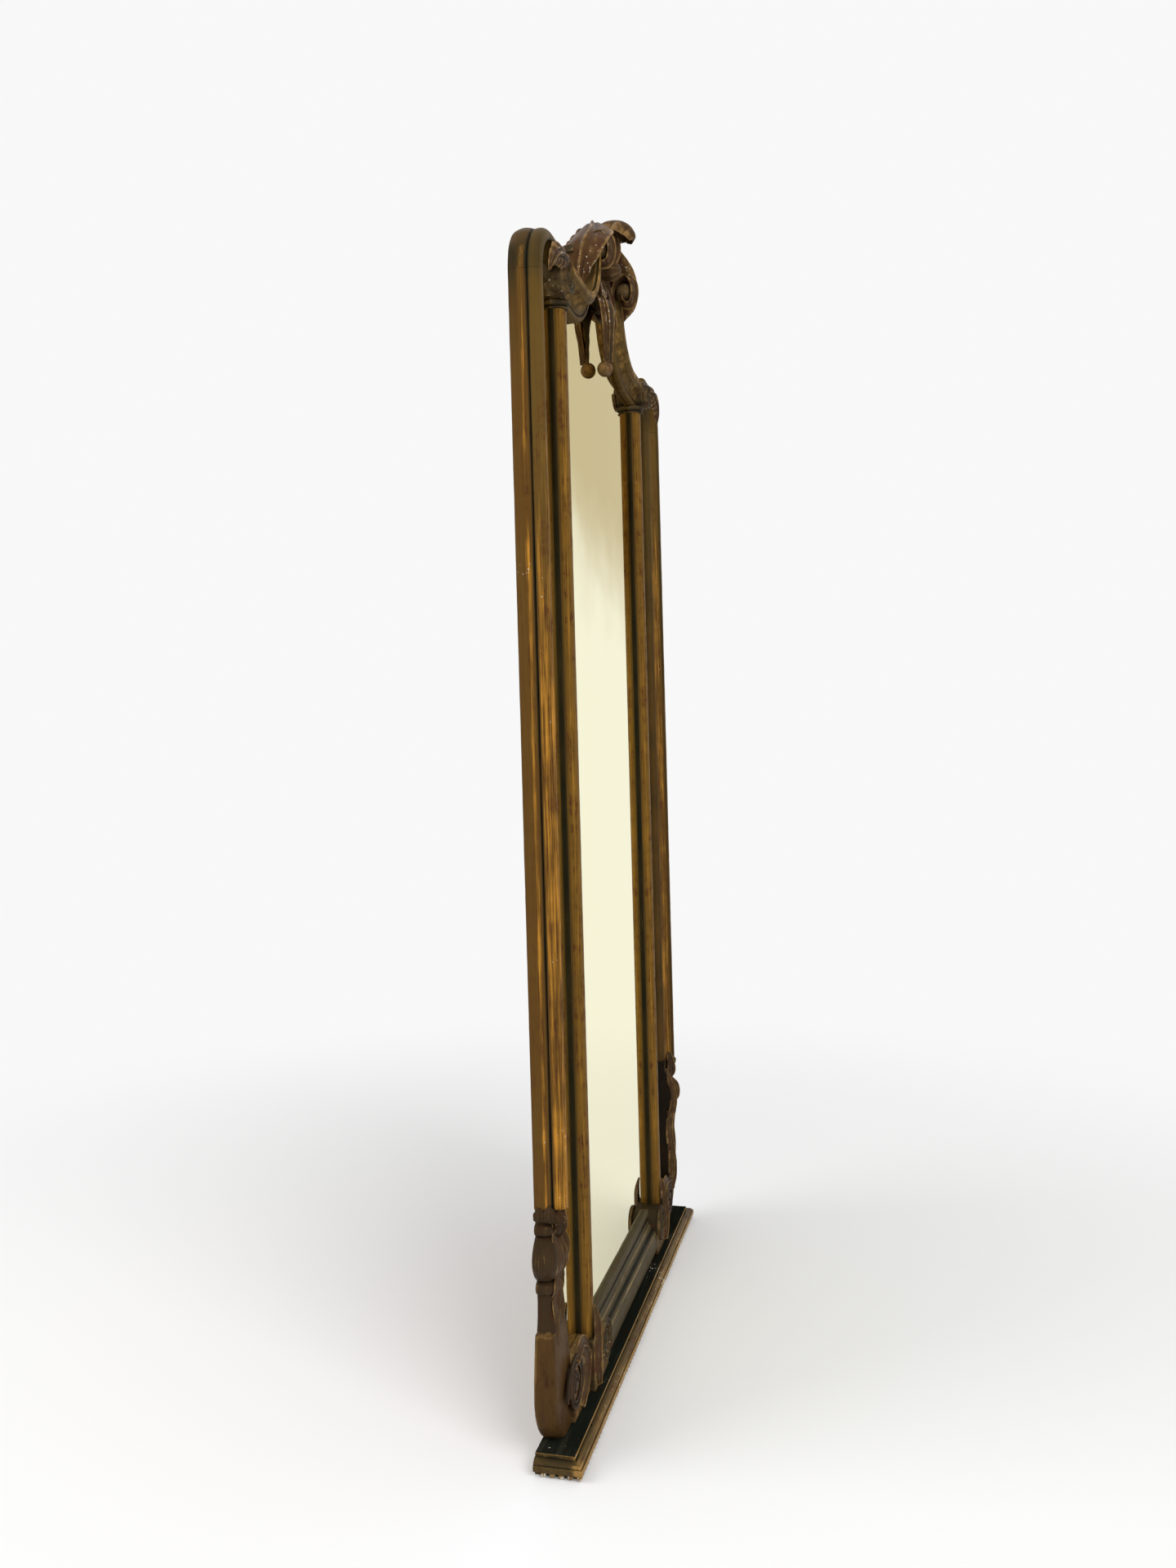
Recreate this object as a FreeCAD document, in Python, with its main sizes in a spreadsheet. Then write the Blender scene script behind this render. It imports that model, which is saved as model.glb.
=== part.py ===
import FreeCAD, Part
import math
import os
import types
import Sketcher

# Carved giltwood mirror with border glasses, standing on a moulded plinth.
# X runs to the right seen from the front, Y runs back to the wall, Z runs up.
# The origin is the middle of the plinth's underside. Lengths are millimetres.

Vector = FreeCAD.Vector

# Driving sizes, in the order in which the mirror is put together
SIZES = {
    # Plinth and its row of pearls
    "plinth_length": 900,
    "plinth_depth": 66,
    "plinth_projection": 12.5,
    "fascia_height": 8,
    "ovolo_height": 6,
    "fillet_height": 4,
    "quirk_width": 2,
    "pearl_diameter": 7.6,
    "pearl_pitch": 12,
    "pearl_course": 8,
    "pearl_reveal": 1.5,
    # Outer frame
    "frame_width": 832,
    "frame_height": 1609,
    "stile_width": 54,
    "stile_depth": 44,
    "roll_relief": 3,
    "rebate_width": 10,
    "shoulder_radius": 78,
    "shoulder_run": 32,
    # Carved legs and feet
    "leg_height": 309,
    "foot_height": 146,
    "leg_projection": 16,
    "foot_swell": 24,
    "leg_swell": 24,
    "leaf_height": 8.5,
    "leaf_width": 36,
    "volute_radius": 47,
    "volute_height": 11,
    "volute_setin": 58,
    "volute_lift": 2,
    # Inner frame
    "border_width": 101,
    "inner_stile_width": 28,
    "inner_stile_projection": 19.5,
    "tongue_width": 4,
    "bottom_rail_height": 82,
    "rail_end_setin": 64.5,
    "bottom_rail_projection": 23,
    "inner_foot_width": 36,
    "inner_foot_projection": 24,
    "foot_scroll_radius": 33,
    "foot_scroll_setin": 26,
    "foot_scroll_lift": 52,
    "capital_height": 14,
    "capital_width": 32,
    "capital_projection": 22,
    "scroll_height": 9,
    # Arched head
    "corner_boss_radius": 22,
    "corner_boss_projection": 17,
    "corner_boss_lift": 6,
    "corner_scroll_setin": 2,
    "arch_rail_width": 40,
    "arch_rail_projection": 26,
    "arch_radius": 110,
    "arch_centre": 196,
    "arch_drop": 45,
    "board_setback": 2,
    "carving_gap": 0.3,
    # Crest
    "crest_height": 165,
    "c_scroll_radius": 26,
    "c_scroll_centre": 33,
    "c_scroll_level": 55,
    "c_scroll_depth": 24,
    "c_scroll_thickness": 10,
    "cartouche_width": 36,
    "cartouche_height": 38,
    "cartouche_lift": 22,
    "cartouche_projection": 52,
    "plume_reach": 63,
    "plume_base": 43,
    "plume_height": 34,
    "plume_width": 70,
    "plume_thickness": 16,
    "side_leaf_height": 33,
    "side_leaf_reach": 46,
    "side_leaf_width": 36,
    "side_leaf_thickness": 13,
    "pendant_length": 97,
    "pendant_width": 70,
    "pendant_thickness": 9,
    "pendant_ball": 19,
    "pendant_stand": 14,
    # Glass and back
    "glass_thickness": 3,
    "glass_gap": 1,
    "crown_half_width": 92,
    "crown_rise": 67,
    "crown_setin": 10,
    "board_thickness": 7,
    "board_gap": 0.5,
    "batten_thickness": 8,
    "batten_width": 60,
    "batten_inset": 300,
    "screw_diameter": 4,
    "screw_head_diameter": 8,
    "screw_head_height": 3,
    "screw_clearance": 0.1,
    # Hanging rings, let into the backs of the outer stiles
    "hanger_level": 220,
    "strap_width": 18,
    "strap_length": 60,
    "strap_thickness": 1.6,
    "strap_screw_pitch": 16,
    "strap_screw_inset": 6,
    "ring_wire": 3.5,
    "ring_width": 24,
    "ring_leg": 10,
    "barrel_wall": 1.85,
    "pivot_clearance": 0.05,
    "pocket_clearance": 1.4,
}

doc = FreeCAD.newDocument("BorderGlassMirror")
sheet = doc.addObject("Spreadsheet::Sheet", "Sizes")
NODES = []


class Size:
    """A length of the mirror: its value and the sheet expression that gives it."""

    def __init__(self, value, text):
        self.value = float(value)
        self.text = text

    def __add__(self, other):
        other = as_size(other)
        return Size(self.value + other.value, f"({self.text} + {other.text})")

    def __sub__(self, other):
        other = as_size(other)
        return Size(self.value - other.value, f"({self.text} - {other.text})")

    def __mul__(self, other):
        other = as_size(other)
        return Size(self.value * other.value, f"({self.text} * {other.text})")

    def __truediv__(self, other):
        other = as_size(other)
        return Size(self.value / other.value, f"({self.text} / {other.text})")

    def __neg__(self):
        return Size(-self.value, f"(-1 * {self.text})")

    __radd__ = __add__
    __rmul__ = __mul__

    def root(self):
        return Size(math.sqrt(self.value), f"sqrt({self.text})")


def as_size(item):
    """A plain count or share becomes a size, so that sums can mix the two."""
    return item if isinstance(item, Size) else Size(item, f"{item:.12g}")


def fill_sheet():
    """Writes the driving sizes to the sheet and returns them by name."""
    named = types.SimpleNamespace()
    for row, (name, value) in enumerate(SIZES.items(), start=1):
        sheet.set(f"A{row}", name)
        sheet.set(f"B{row}", str(value))
        sheet.setAlias(f"B{row}", name)
        setattr(named, name, Size(value, f"Sizes.{name}"))
    doc.recompute()
    return named


size = fill_sheet()
SIDES = (("left", -1), ("right", 1))

# Levels and planes that the pieces share, worked out from the driving sizes
plinth_top = size.pearl_course + size.fascia_height + size.ovolo_height + size.fillet_height
back = size.plinth_depth / 2
batten_front = back - size.batten_thickness
board_front = batten_front - size.board_thickness
glass_front = board_front - size.glass_thickness
half_frame = size.frame_width / 2
sight = half_frame - size.stile_width
rebate_wall = sight + size.rebate_width
glass_edge = rebate_wall - size.glass_gap
shoulder_top = plinth_top + size.frame_height
spring = shoulder_top - size.shoulder_radius
shoulder_end = half_frame - size.shoulder_radius - size.shoulder_run
sight_bottom = plinth_top + size.bottom_rail_height
glass_bottom = sight_bottom - size.rebate_width
glass_top = shoulder_top - size.stile_width + size.rebate_width - size.glass_gap
inner_spacing = size.frame_width - (size.stile_width + size.border_width) * 2
inner_axis = inner_spacing / 2
bottom_rail_length = inner_spacing - size.rail_end_setin * 2
inner_foot_top = glass_bottom + size.carving_gap
leg_top = plinth_top + size.leg_height
foot_top = plinth_top + size.foot_height
leg_front = glass_front - size.leg_projection
arch_axis = shoulder_top - size.arch_drop
arch_end = size.arch_centre - size.arch_radius
arch_tip = arch_axis + size.arch_radius
boss_axis = shoulder_end - size.carving_gap - size.corner_boss_radius
boss_front = glass_front - size.corner_boss_projection
boss_level = arch_axis + size.corner_boss_lift
capital_top = arch_axis - size.arch_rail_width / 2 - size.carving_gap
capital_base = capital_top - size.capital_height
c_scroll_axis = shoulder_top + size.c_scroll_level
carving_ground = glass_front - size.carving_gap
crest_top = shoulder_top + size.crest_height
crown_top = glass_top + size.crown_rise
crown_foot = size.arch_centre - size.crown_setin

# A quarter circle rises above its chord by this share of its radius
QUARTER_BOW_SHARE = 1 - math.sqrt(0.5)


def new_body(name):
    """An empty body whose label names the node."""
    body = doc.addObject("PartDesign::Body", name)
    body.Label = name
    NODES.append(body)
    return body


def new_sketch(body, name, role, offset=None):
    """A sketch on one of the body's own planes, moved along the plane's normal by offset."""
    sketch = body.newObject("Sketcher::SketchObject", name)
    plane = next(item for item in body.Origin.OriginFeatures if item.Role == role)
    sketch.AttachmentSupport = [(plane, "")]
    sketch.MapMode = "FlatFace"
    if offset is not None:
        sketch.AttachmentOffset = FreeCAD.Placement(Vector(0, 0, offset.value), FreeCAD.Rotation())
        sketch.setExpression("AttachmentOffset.Base.z", offset.text)
    return sketch


def bind(sketch, constraint, text):
    """Adds a constraint and ties its value to the sheet."""
    index = sketch.addConstraint(constraint)
    sketch.setExpression(f"Constraints[{index}]", text)


def chain(sketch, corners, closed=True):
    """Lines and arcs through corners (x, y) or (x, y, bow).

    A bow is the rise of the arc from this corner to the next, to the left where it is positive.
    """
    count = len(corners)
    points = [Vector(corner[0].value, corner[1].value, 0) for corner in corners]
    runs = count if closed else count - 1
    for index in range(runs):
        start = points[index]
        end = points[(index + 1) % count]
        if len(corners[index]) == 2:
            sketch.addGeometry(Part.LineSegment(start, end), False)
            continue
        chord = end - start
        left = Vector(-chord.y, chord.x, 0).normalize()
        middle = (start + end) * 0.5 + left * corners[index][2].value
        sketch.addGeometry(Part.ArcOfCircle(start, middle, end), False)
    first = []
    for index in range(runs):
        near_start = sketch.getPoint(index, 1).distanceToPoint(points[index])
        near_end = sketch.getPoint(index, 2).distanceToPoint(points[index])
        first.append(1 if near_start < near_end else 2)
    for index in range(runs if closed else runs - 1):
        follower = (index + 1) % runs
        joint = Sketcher.Constraint("Coincident", index, 3 - first[index], follower, first[follower])
        sketch.addConstraint(joint)
    for index, corner in enumerate(corners):
        run = min(index, runs - 1)
        end = first[run] if index < runs else 3 - first[run]
        for kind, place in (("DistanceX", corner[0]), ("DistanceY", corner[1])):
            bind(sketch, Sketcher.Constraint(kind, -1, 1, run, end, place.value), place.text)
        if len(corner) == 3 and index < runs:
            follower = corners[(index + 1) % count]
            across = follower[0] - corner[0]
            along = follower[1] - corner[1]
            bow = corner[2] if corner[2].value > 0 else -corner[2]
            radius = (across * across + along * along) / (bow * 8) + bow / 2
            bind(sketch, Sketcher.Constraint("Radius", index, radius.value), radius.text)


def circle(sketch, x, y, diameter):
    """A circle tied to the sheet, for a hole or a round boss."""
    shape = Part.Circle(Vector(x.value, y.value, 0), Vector(0, 0, 1), diameter.value / 2)
    index = sketch.addGeometry(shape, False)
    bind(sketch, Sketcher.Constraint("DistanceX", -1, 1, index, 3, x.value), x.text)
    bind(sketch, Sketcher.Constraint("DistanceY", -1, 1, index, 3, y.value), y.text)
    bind(sketch, Sketcher.Constraint("Diameter", index, diameter.value), diameter.text)


def rectangle(x_low, x_high, y_low, y_high):
    """The four corners of a rectangle, for chain."""
    return [(x_low, y_low), (x_high, y_low), (x_high, y_high), (x_low, y_high)]


def pad(body, sketch, length):
    """A pad along the sketch's normal."""
    feature = body.newObject("PartDesign::Pad", sketch.Name + "Pad")
    feature.Profile = sketch
    feature.setExpression("Length", length.text)
    sketch.Visibility = False
    return feature


def front_pad(body, name, corners, rear, front, holes=()):
    """A board cut to an outline seen from the front, from the plane rear forward to the plane front."""
    sketch = new_sketch(body, name, "XZ_Plane", -rear)
    chain(sketch, corners)
    for x, z, diameter in holes:
        circle(sketch, x, z, diameter)
    return pad(body, sketch, rear - front)


def box(name, low, high, node=True):
    """A plain block between two corners."""
    block = doc.addObject("Part::Box", name)
    block.Label = name
    for prop, axis, start, end in zip(("Length", "Width", "Height"), "xyz", low, high):
        block.setExpression(prop, (end - start).text)
        block.setExpression(f"Placement.Base.{axis}", start.text)
    if node:
        NODES.append(block)
    return block


def cylinder(name, centre, diameter, length, turn):
    """A round bar from centre, along the direction that turn gives to its own Z axis."""
    bar = doc.addObject("Part::Cylinder", name)
    bar.setExpression("Radius", (diameter / 2).text)
    bar.setExpression("Height", length.text)
    bar.Placement = FreeCAD.Placement(Vector(0, 0, 0), turn)
    for axis, place in zip("xyz", centre):
        bar.setExpression(f"Placement.Base.{axis}", place.text)
    return bar


def feature_node(name, shape):
    """A carved piece whose shape is worked out here from the sheet's sizes."""
    node = doc.addObject("Part::Feature", name)
    node.Label = name
    node.Shape = shape
    node.Placement = FreeCAD.Placement()
    NODES.append(node)
    return node


# Rotations that lay a cylinder's own axis along X, and along Y towards the front
ALONG_X = FreeCAD.Rotation(Vector(0, 0, 1), Vector(1, 0, 0))
ALONG_FRONT = FreeCAD.Rotation(Vector(0, 0, 1), Vector(0, -1, 0))
ZERO = as_size(0)


# Ovolo of the plinth: how far each facet stands in, and up, as shares of the ovolo's run and height
OVOLO_SHARES = [(0.13, 0.5), (0.5, 0.87), (1, 1)]


# Plinth: a core with the pearl course, then fascia, quirk, ovolo and top fillet with mitred ends
def make_plinth():
    body = new_body("plinth_board")
    half = size.plinth_length / 2
    inset = size.pearl_reveal + size.pearl_diameter
    core = new_sketch(body, "PlinthCore", "XY_Plane")
    chain(core, rectangle(inset - half, half - inset, inset - back, back))
    pad(body, core, size.pearl_course)
    fascia_top = size.pearl_course + size.fascia_height
    ovolo_top = fascia_top + size.ovolo_height
    ovolo_run = size.plinth_projection - size.quirk_width
    # Each step is a level and how far it stands in from the fascia's face
    steps = [(size.pearl_course, ZERO), (fascia_top, ZERO), (fascia_top, size.quirk_width)]
    for in_share, up_share in OVOLO_SHARES:
        steps.append((fascia_top + size.ovolo_height * up_share, size.quirk_width + ovolo_run * in_share))
    steps.append((ovolo_top + size.fillet_height, size.plinth_projection))
    for index, (lower, upper) in enumerate(zip(steps, steps[1:])):
        if lower[0].value == upper[0].value:
            continue
        sections = []
        for end, (level, stand_in) in enumerate((lower, upper)):
            sketch = new_sketch(body, f"PlinthStep{index}_{end}", "XY_Plane", level)
            chain(sketch, rectangle(stand_in - half, half - stand_in, stand_in - back, back))
            sections.append(sketch)
        step = body.newObject("PartDesign::AdditiveLoft", f"PlinthMoulding{index}")
        step.Profile = sections[0]
        step.Sections = [sections[1]]
        step.Ruled = True


def make_pearls():
    radius = size.pearl_diameter.value / 2
    level = size.pearl_course.value - radius
    stand_in = size.pearl_reveal.value + radius
    end = size.plinth_length.value / 2 - stand_in
    front = stand_in - back.value
    count = int(2 * end / size.pearl_pitch.value)
    pitch = 2 * end / count
    places = [(index * pitch - end, front) for index in range(count + 1)]
    end_count = int((back.value - radius - front) / size.pearl_pitch.value)
    for index in range(1, end_count + 1):
        for side in (-1, 1):
            places.append((side * end, front + index * size.pearl_pitch.value))
    pearls = [Part.makeSphere(radius, Vector(x, y, level)) for x, y in places]
    feature_node("plinth_pearls", Part.makeCompound(pearls))


# Outer frame moulding, as shares of its width from the outer face and of its depth from the back.
# The third share is the bow of the arc to the next corner, as a share of the width.
STILE_PROFILE_SHARES = [
    (0.055, 0, 0.055),
    (0.055, 0.555),
    (0.13, 0.577),
    (0.055, 0.6, 0.1),
    (0.26, 1),
    (0.333, 0.977, -0.09),
    (0.74, 0.636, 0.055),
    (0.926, 0.614),
    (1, 0.545),
]


def stile_profile(sketch, side):
    """The outer moulding with its rebate for the glass, at one side of the frame."""
    corners = []
    for across_share, depth_share, *bow_share in STILE_PROFILE_SHARES:
        x = half_frame - size.stile_width * across_share
        corner = [x * side, back - size.stile_depth * depth_share]
        corner += [size.stile_width * (bow * side) for bow in bow_share]
        corners.append(tuple(corner))
    corners.append((sight * side, glass_front))
    corners.append((rebate_wall * side, glass_front))
    corners.append((rebate_wall * side, back))
    chain(sketch, corners)


ring_pivot_level = spring - size.hanger_level
hanger_axis = (rebate_wall + half_frame - size.roll_relief) / 2
barrel_radius = size.ring_wire / 2 + size.pivot_clearance + size.barrel_wall
pocket_floor = back - barrel_radius * 2 - size.pocket_clearance
ring_pivot_depth = pocket_floor + barrel_radius
ring_reach = size.ring_leg + size.ring_width / 2 + size.ring_wire / 2
pocket_half = (size.ring_width + size.ring_wire) / 2 + size.pocket_clearance


def make_outer_stiles():
    for name, side in SIDES:
        body = new_body(f"outer_stile_{name}")
        profile = new_sketch(body, f"StileProfile_{name}", "XY_Plane", leg_top)
        stile_profile(profile, side)
        pad(body, profile, spring - leg_top)
        doc.recompute()
        whole = body.Shape.Volume
        recess = new_sketch(body, f"HangerRecess_{name}", "XZ_Plane", -back)
        low = ring_pivot_level - size.strap_length - size.pocket_clearance
        high = ring_pivot_level + ring_reach + size.pocket_clearance
        middle = hanger_axis * side
        chain(recess, rectangle(middle - pocket_half, middle + pocket_half, low, high))
        pocket = body.newObject("PartDesign::Pocket", f"HangerPocket_{name}")
        pocket.Profile = recess
        pocket.setExpression("Length", (back - pocket_floor).text)
        pocket.Reversed = True
        doc.recompute()
        if body.Shape.Volume >= whole:
            raise RuntimeError("the hanger pocket cuts nothing")


def make_shoulders():
    for name, side in SIDES:
        body = new_body(f"shoulder_{name}")
        profile = new_sketch(body, f"ShoulderProfile_{name}", "XY_Plane", spring)
        stile_profile(profile, side)
        spine = new_sketch(body, f"ShoulderPath_{name}", "XZ_Plane")
        bow = size.shoulder_radius * (QUARTER_BOW_SHARE * -side)
        corners = [
            (half_frame * side, spring, bow),
            ((half_frame - size.shoulder_radius) * side, shoulder_top),
            (shoulder_end * side, shoulder_top),
        ]
        chain(spine, corners, closed=False)
        doc.recompute()
        sweep = body.newObject("PartDesign::AdditivePipe", f"ShoulderSweep_{name}")
        sweep.Profile = profile
        sweep.Spine = spine


# Outlines of leg and foot, seen from the front: shares of the piece's height, how far the edge stands
# out as a share of its swell, and the bow of the arc to the next corner as a share of the swell.
FOOT_EDGE_SHARES = [(0, -0.6, -0.42), (0.45, 1, -0.08), (1, 0.45)]
LEG_EDGE_SHARES = [
    (0, 0.15, 0.12),
    (0.3, -0.1),
    (0.33, 0.1),
    (0.38, 0.1),
    (0.41, -0.1, -0.85),
    (0.78, -0.12),
    (0.8, 0.1),
    (0.85, 0.1),
    (0.88, -0.15, 0.1),
    (1, 0),
]


def carved_edge(side, base, height, swell, edge_shares, inner):
    """A block's outline: the inner edge straight, the outer one swelling as its shares say."""
    corners = [(inner * side, base)]
    for up_share, out_share, *bow_share in edge_shares:
        corner = [(half_frame + swell * out_share) * side, base + height * up_share]
        corner += [swell * (bow * side) for bow in bow_share]
        corners.append(tuple(corner))
    corners.append((inner * side, base + height))
    return corners


def make_legs_and_feet():
    kinds = (
        ("foot", plinth_top, size.foot_height, size.foot_swell, FOOT_EDGE_SHARES),
        ("leg", foot_top, leg_top - foot_top, size.leg_swell, LEG_EDGE_SHARES),
    )
    for name, side in SIDES:
        for kind, base, height, swell, edge_shares in kinds:
            body = new_body(f"{kind}_{name}")
            rear = carved_edge(side, base, height, swell, edge_shares, rebate_wall)
            face = carved_edge(side, base, height, swell, edge_shares, sight)
            front_pad(body, f"{kind}Rear_{name}", rear, back, glass_front)
            front_pad(body, f"{kind}Face_{name}", face, glass_front, leg_front)


# Carving: sections are set closely along a path and joined by a ruled loft
LOFT_STEPS = 4


def carved_loft(sections):
    solid = Part.makeLoft(sections, True, True)
    if solid.Volume < 0:
        solid.reverse()
    return solid


def refine(rows):
    """Rows of shares with further rows between them, on smooth curves through the given ones."""
    fine = []
    last = len(rows) - 1
    for index in range(last):
        before = rows[max(index - 1, 0)]
        start = rows[index]
        end = rows[index + 1]
        after = rows[min(index + 2, last)]
        for step in range(LOFT_STEPS):
            part = step / LOFT_STEPS
            row = []
            for p0, p1, p2, p3 in zip(before, start, end, after):
                bend = 2 * p0 - 5 * p1 + 4 * p2 - p3
                twist = 3 * (p1 - p2) + p3 - p0
                row.append(p1 + part * (p2 - p0 + part * (bend + part * twist)) / 2)
            fine.append(row)
    fine.append(list(rows[last]))
    return fine


def relief_section(centre, across, width, height):
    """A half-round section whose flat side lies on the carving's ground."""
    edge = across * (width / 2)
    crown = centre + Vector(0, -height, 0)
    arc = Part.Arc(centre - edge, crown, centre + edge).toShape()
    flat = Part.LineSegment(centre + edge, centre - edge).toShape()
    return Part.Wire([arc, flat])


def leaf_section(centre, across, normal, width, thickness, cup):
    """A section of a carved leaf: two arcs that meet at its edges, bent by cup towards normal."""
    edge = across * (width / 2)
    face = centre + normal * (cup + thickness / 2)
    rear = centre + normal * (cup - thickness / 2)
    front_arc = Part.Arc(centre - edge, face, centre + edge).toShape()
    rear_arc = Part.Arc(centre + edge, rear, centre - edge).toShape()
    return Part.Wire([front_arc, rear_arc])


SPIRAL_TURNS = 1.5
SPIRAL_EYE_SHARE = 0.24
SPIRAL_BAND_SHARE = 0.36
SPIRAL_BAND_TAPER_SHARE = 0.5
SPIRAL_HEIGHT_TAPER_SHARE = 0.25
SPIRAL_STEPS = 36


def spiral_relief(centre, radius, height, side, start_angle):
    """A carved spiral band that winds in to its eye, as a relief on the ground at centre."""
    sections = []
    for step in range(SPIRAL_STEPS + 1):
        share = step / SPIRAL_STEPS
        angle = start_angle + 2 * math.pi * SPIRAL_TURNS * share
        band = radius * SPIRAL_BAND_SHARE * (1 - SPIRAL_BAND_TAPER_SHARE * share)
        rise = height * (1 - SPIRAL_HEIGHT_TAPER_SHARE * share)
        reach = (radius - radius * SPIRAL_BAND_SHARE / 2) * (1 - share) + radius * SPIRAL_EYE_SHARE * share
        out = Vector(math.cos(angle) * side, 0, math.sin(angle))
        sections.append(relief_section(centre + out * reach, out, band, rise))
    return carved_loft(sections)


def make_volutes():
    for name, side in SIDES:
        middle = (half_frame - size.volute_setin) * side
        level = plinth_top + size.volute_lift + size.volute_radius
        centre = Vector(middle.value, leg_front.value, level.value)
        shape = spiral_relief(centre, size.volute_radius.value, size.volute_height.value, side, 0)
        feature_node(f"foot_volute_{name}", shape)


# The leaf drop: shares of leg height, set-in from the outer face over the width, width and height
LEAF_DROP_SHARES = [
    (0.06, 0.06, 0.12, 0.3),
    (0.14, -0.08, 0.24, 0.6),
    (0.24, -0.12, 0.28, 0.65),
    (0.34, 0, 0.36, 0.75),
    (0.42, 0.2, 0.4, 0.6),
    (0.5, 0.3, 0.5, 0.8),
    (0.57, 0.33, 0.62, 0.62),
    (0.62, 0.33, 0.74, 0.55),
    (0.66, 0.3, 0.84, 0.95),
    (0.71, 0.3, 0.8, 0.6),
    (0.76, 0.22, 0.95, 1),
    (0.82, 0.22, 1, 0.95),
    (0.87, 0.3, 0.75, 0.6),
    (0.92, 0.3, 0.8, 0.95),
    (0.96, 0.33, 0.6, 0.8),
    (0.985, 0.33, 0.3, 0.35),
]


def make_leaf_drops():
    across = Vector(1, 0, 0)
    for name, side in SIDES:
        sections = []
        for up_share, in_share, width_share, height_share in refine(LEAF_DROP_SHARES):
            x = (half_frame - size.stile_width * in_share) * side
            z = plinth_top + size.leg_height * up_share
            centre = Vector(x.value, leg_front.value, z.value)
            width = size.leaf_width.value * width_share
            sections.append(relief_section(centre, across, width, size.leaf_height.value * height_share))
        feature_node(f"leaf_drop_{name}", carved_loft(sections))


# Corner blocks: the lower corners of the frame, behind the foot volutes and the inner stile feet
def make_corner_blocks():
    inner = bottom_rail_length / 2 + size.carving_gap
    face_inner = inner_axis + size.inner_foot_width / 2 + size.carving_gap
    for name, side in SIDES:
        ends = sorted((face_inner * side, sight * side), key=lambda item: item.value)
        rear_ends = sorted((inner * side, rebate_wall * side), key=lambda item: item.value)
        face = box(
            f"corner_face_{name}",
            (ends[0], leg_front, plinth_top),
            (ends[1], glass_front, sight_bottom),
            node=False,
        )
        rear = box(
            f"corner_rear_{name}",
            (rear_ends[0], glass_front, plinth_top),
            (rear_ends[1], back, glass_bottom),
            node=False,
        )
        block = doc.addObject("Part::Fuse", f"corner_block_{name}")
        block.Label = f"corner_block_{name}"
        block.Base = face
        block.Tool = rear
        NODES.append(block)


# Bottom rail section, from the plinth up: shares of its projection off the glass and of its height.
# The third share is the bow of the arc to the next corner, as a share of the height.
RAIL_PROFILE_SHARES = [
    (0.78, 0),
    (0.78, 0.05),
    (1, 0.15, 0.03),
    (0.85, 0.53),
    (0.74, 0.56, -0.05),
    (0.3, 0.89, 0.03),
    (0.17, 1),
]


def make_bottom_rail():
    body = new_body("bottom_rail")
    section = new_sketch(body, "BottomRailSection", "YZ_Plane", -bottom_rail_length / 2)
    corners = []
    for out_share, up_share, *bow_share in RAIL_PROFILE_SHARES:
        y = glass_front - size.bottom_rail_projection * out_share
        corner = [y, plinth_top + size.bottom_rail_height * up_share]
        corner += [size.bottom_rail_height * bow for bow in bow_share]
        corners.append(tuple(corner))
    corners += [(glass_front, sight_bottom), (glass_front, glass_bottom)]
    corners += [(back, glass_bottom), (back, plinth_top)]
    chain(section, corners)
    pad(body, section, bottom_rail_length)


# Inner stile section: shares of half its width outwards and of its projection in front of the glass
INNER_PROFILE_SHARES = [
    (1, 0),
    (1, 0.25, -0.16),
    (0.36, 0.82),
    (0.27, 0.76),
    (0.19, 0.84, 0.28),
    (-0.66, 0.72),
    (-1, 0.36),
    (-1, 0),
]


def make_inner_stiles():
    half = size.inner_stile_width / 2
    tongue = size.tongue_width / 2
    for name, side in SIDES:
        body = new_body(f"inner_stile_{name}")
        section = new_sketch(body, f"InnerStileSection_{name}", "XY_Plane", inner_foot_top)
        corners = []
        for across_share, out_share, *bow_share in INNER_PROFILE_SHARES:
            x = inner_axis + half * across_share
            corner = [x * side, glass_front - size.inner_stile_projection * out_share]
            corner += [half * (bow * side) for bow in bow_share]
            corners.append(tuple(corner))
        corners.append(((inner_axis - tongue) * side, glass_front))
        corners.append(((inner_axis - tongue) * side, board_front))
        corners.append(((inner_axis + tongue) * side, board_front))
        corners.append(((inner_axis + tongue) * side, glass_front))
        chain(section, corners)
        pad(body, section, capital_base - inner_foot_top)


# Inner stile feet: blocks on the plinth, rounded where the rail's end scroll lies over them
def make_inner_feet():
    inner = bottom_rail_length / 2 + size.carving_gap
    outer = inner_axis + size.inner_foot_width / 2
    scroll_axis = inner + size.foot_scroll_setin
    front = glass_front - size.inner_foot_projection
    for name, side in SIDES:
        corners = [
            (inner * side, plinth_top),
            (outer * side, plinth_top),
            (outer * side, glass_bottom),
            (scroll_axis * side, glass_bottom, size.foot_scroll_setin * (QUARTER_BOW_SHARE * -side)),
            (inner * side, glass_bottom - size.foot_scroll_setin),
        ]
        front_pad(new_body(f"inner_foot_{name}"), f"InnerFoot_{name}", corners, glass_front, front)
        level = plinth_top + size.foot_scroll_lift
        centre = Vector(scroll_axis.value * side, front.value, level.value)
        scroll = spiral_relief(
            centre, size.foot_scroll_radius.value, size.scroll_height.value, -side, -math.pi / 2
        )
        feature_node(f"foot_scroll_{name}", scroll)


# Capitals of the inner stiles: shares of half width, of height, and the bow of the arc to the next corner
CAPITAL_SHARES = [(0.8, 0, -0.1), (0.8, 0.28), (0.66, 0.34), (0.86, 0.42, -0.14), (0.86, 1)]


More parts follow.
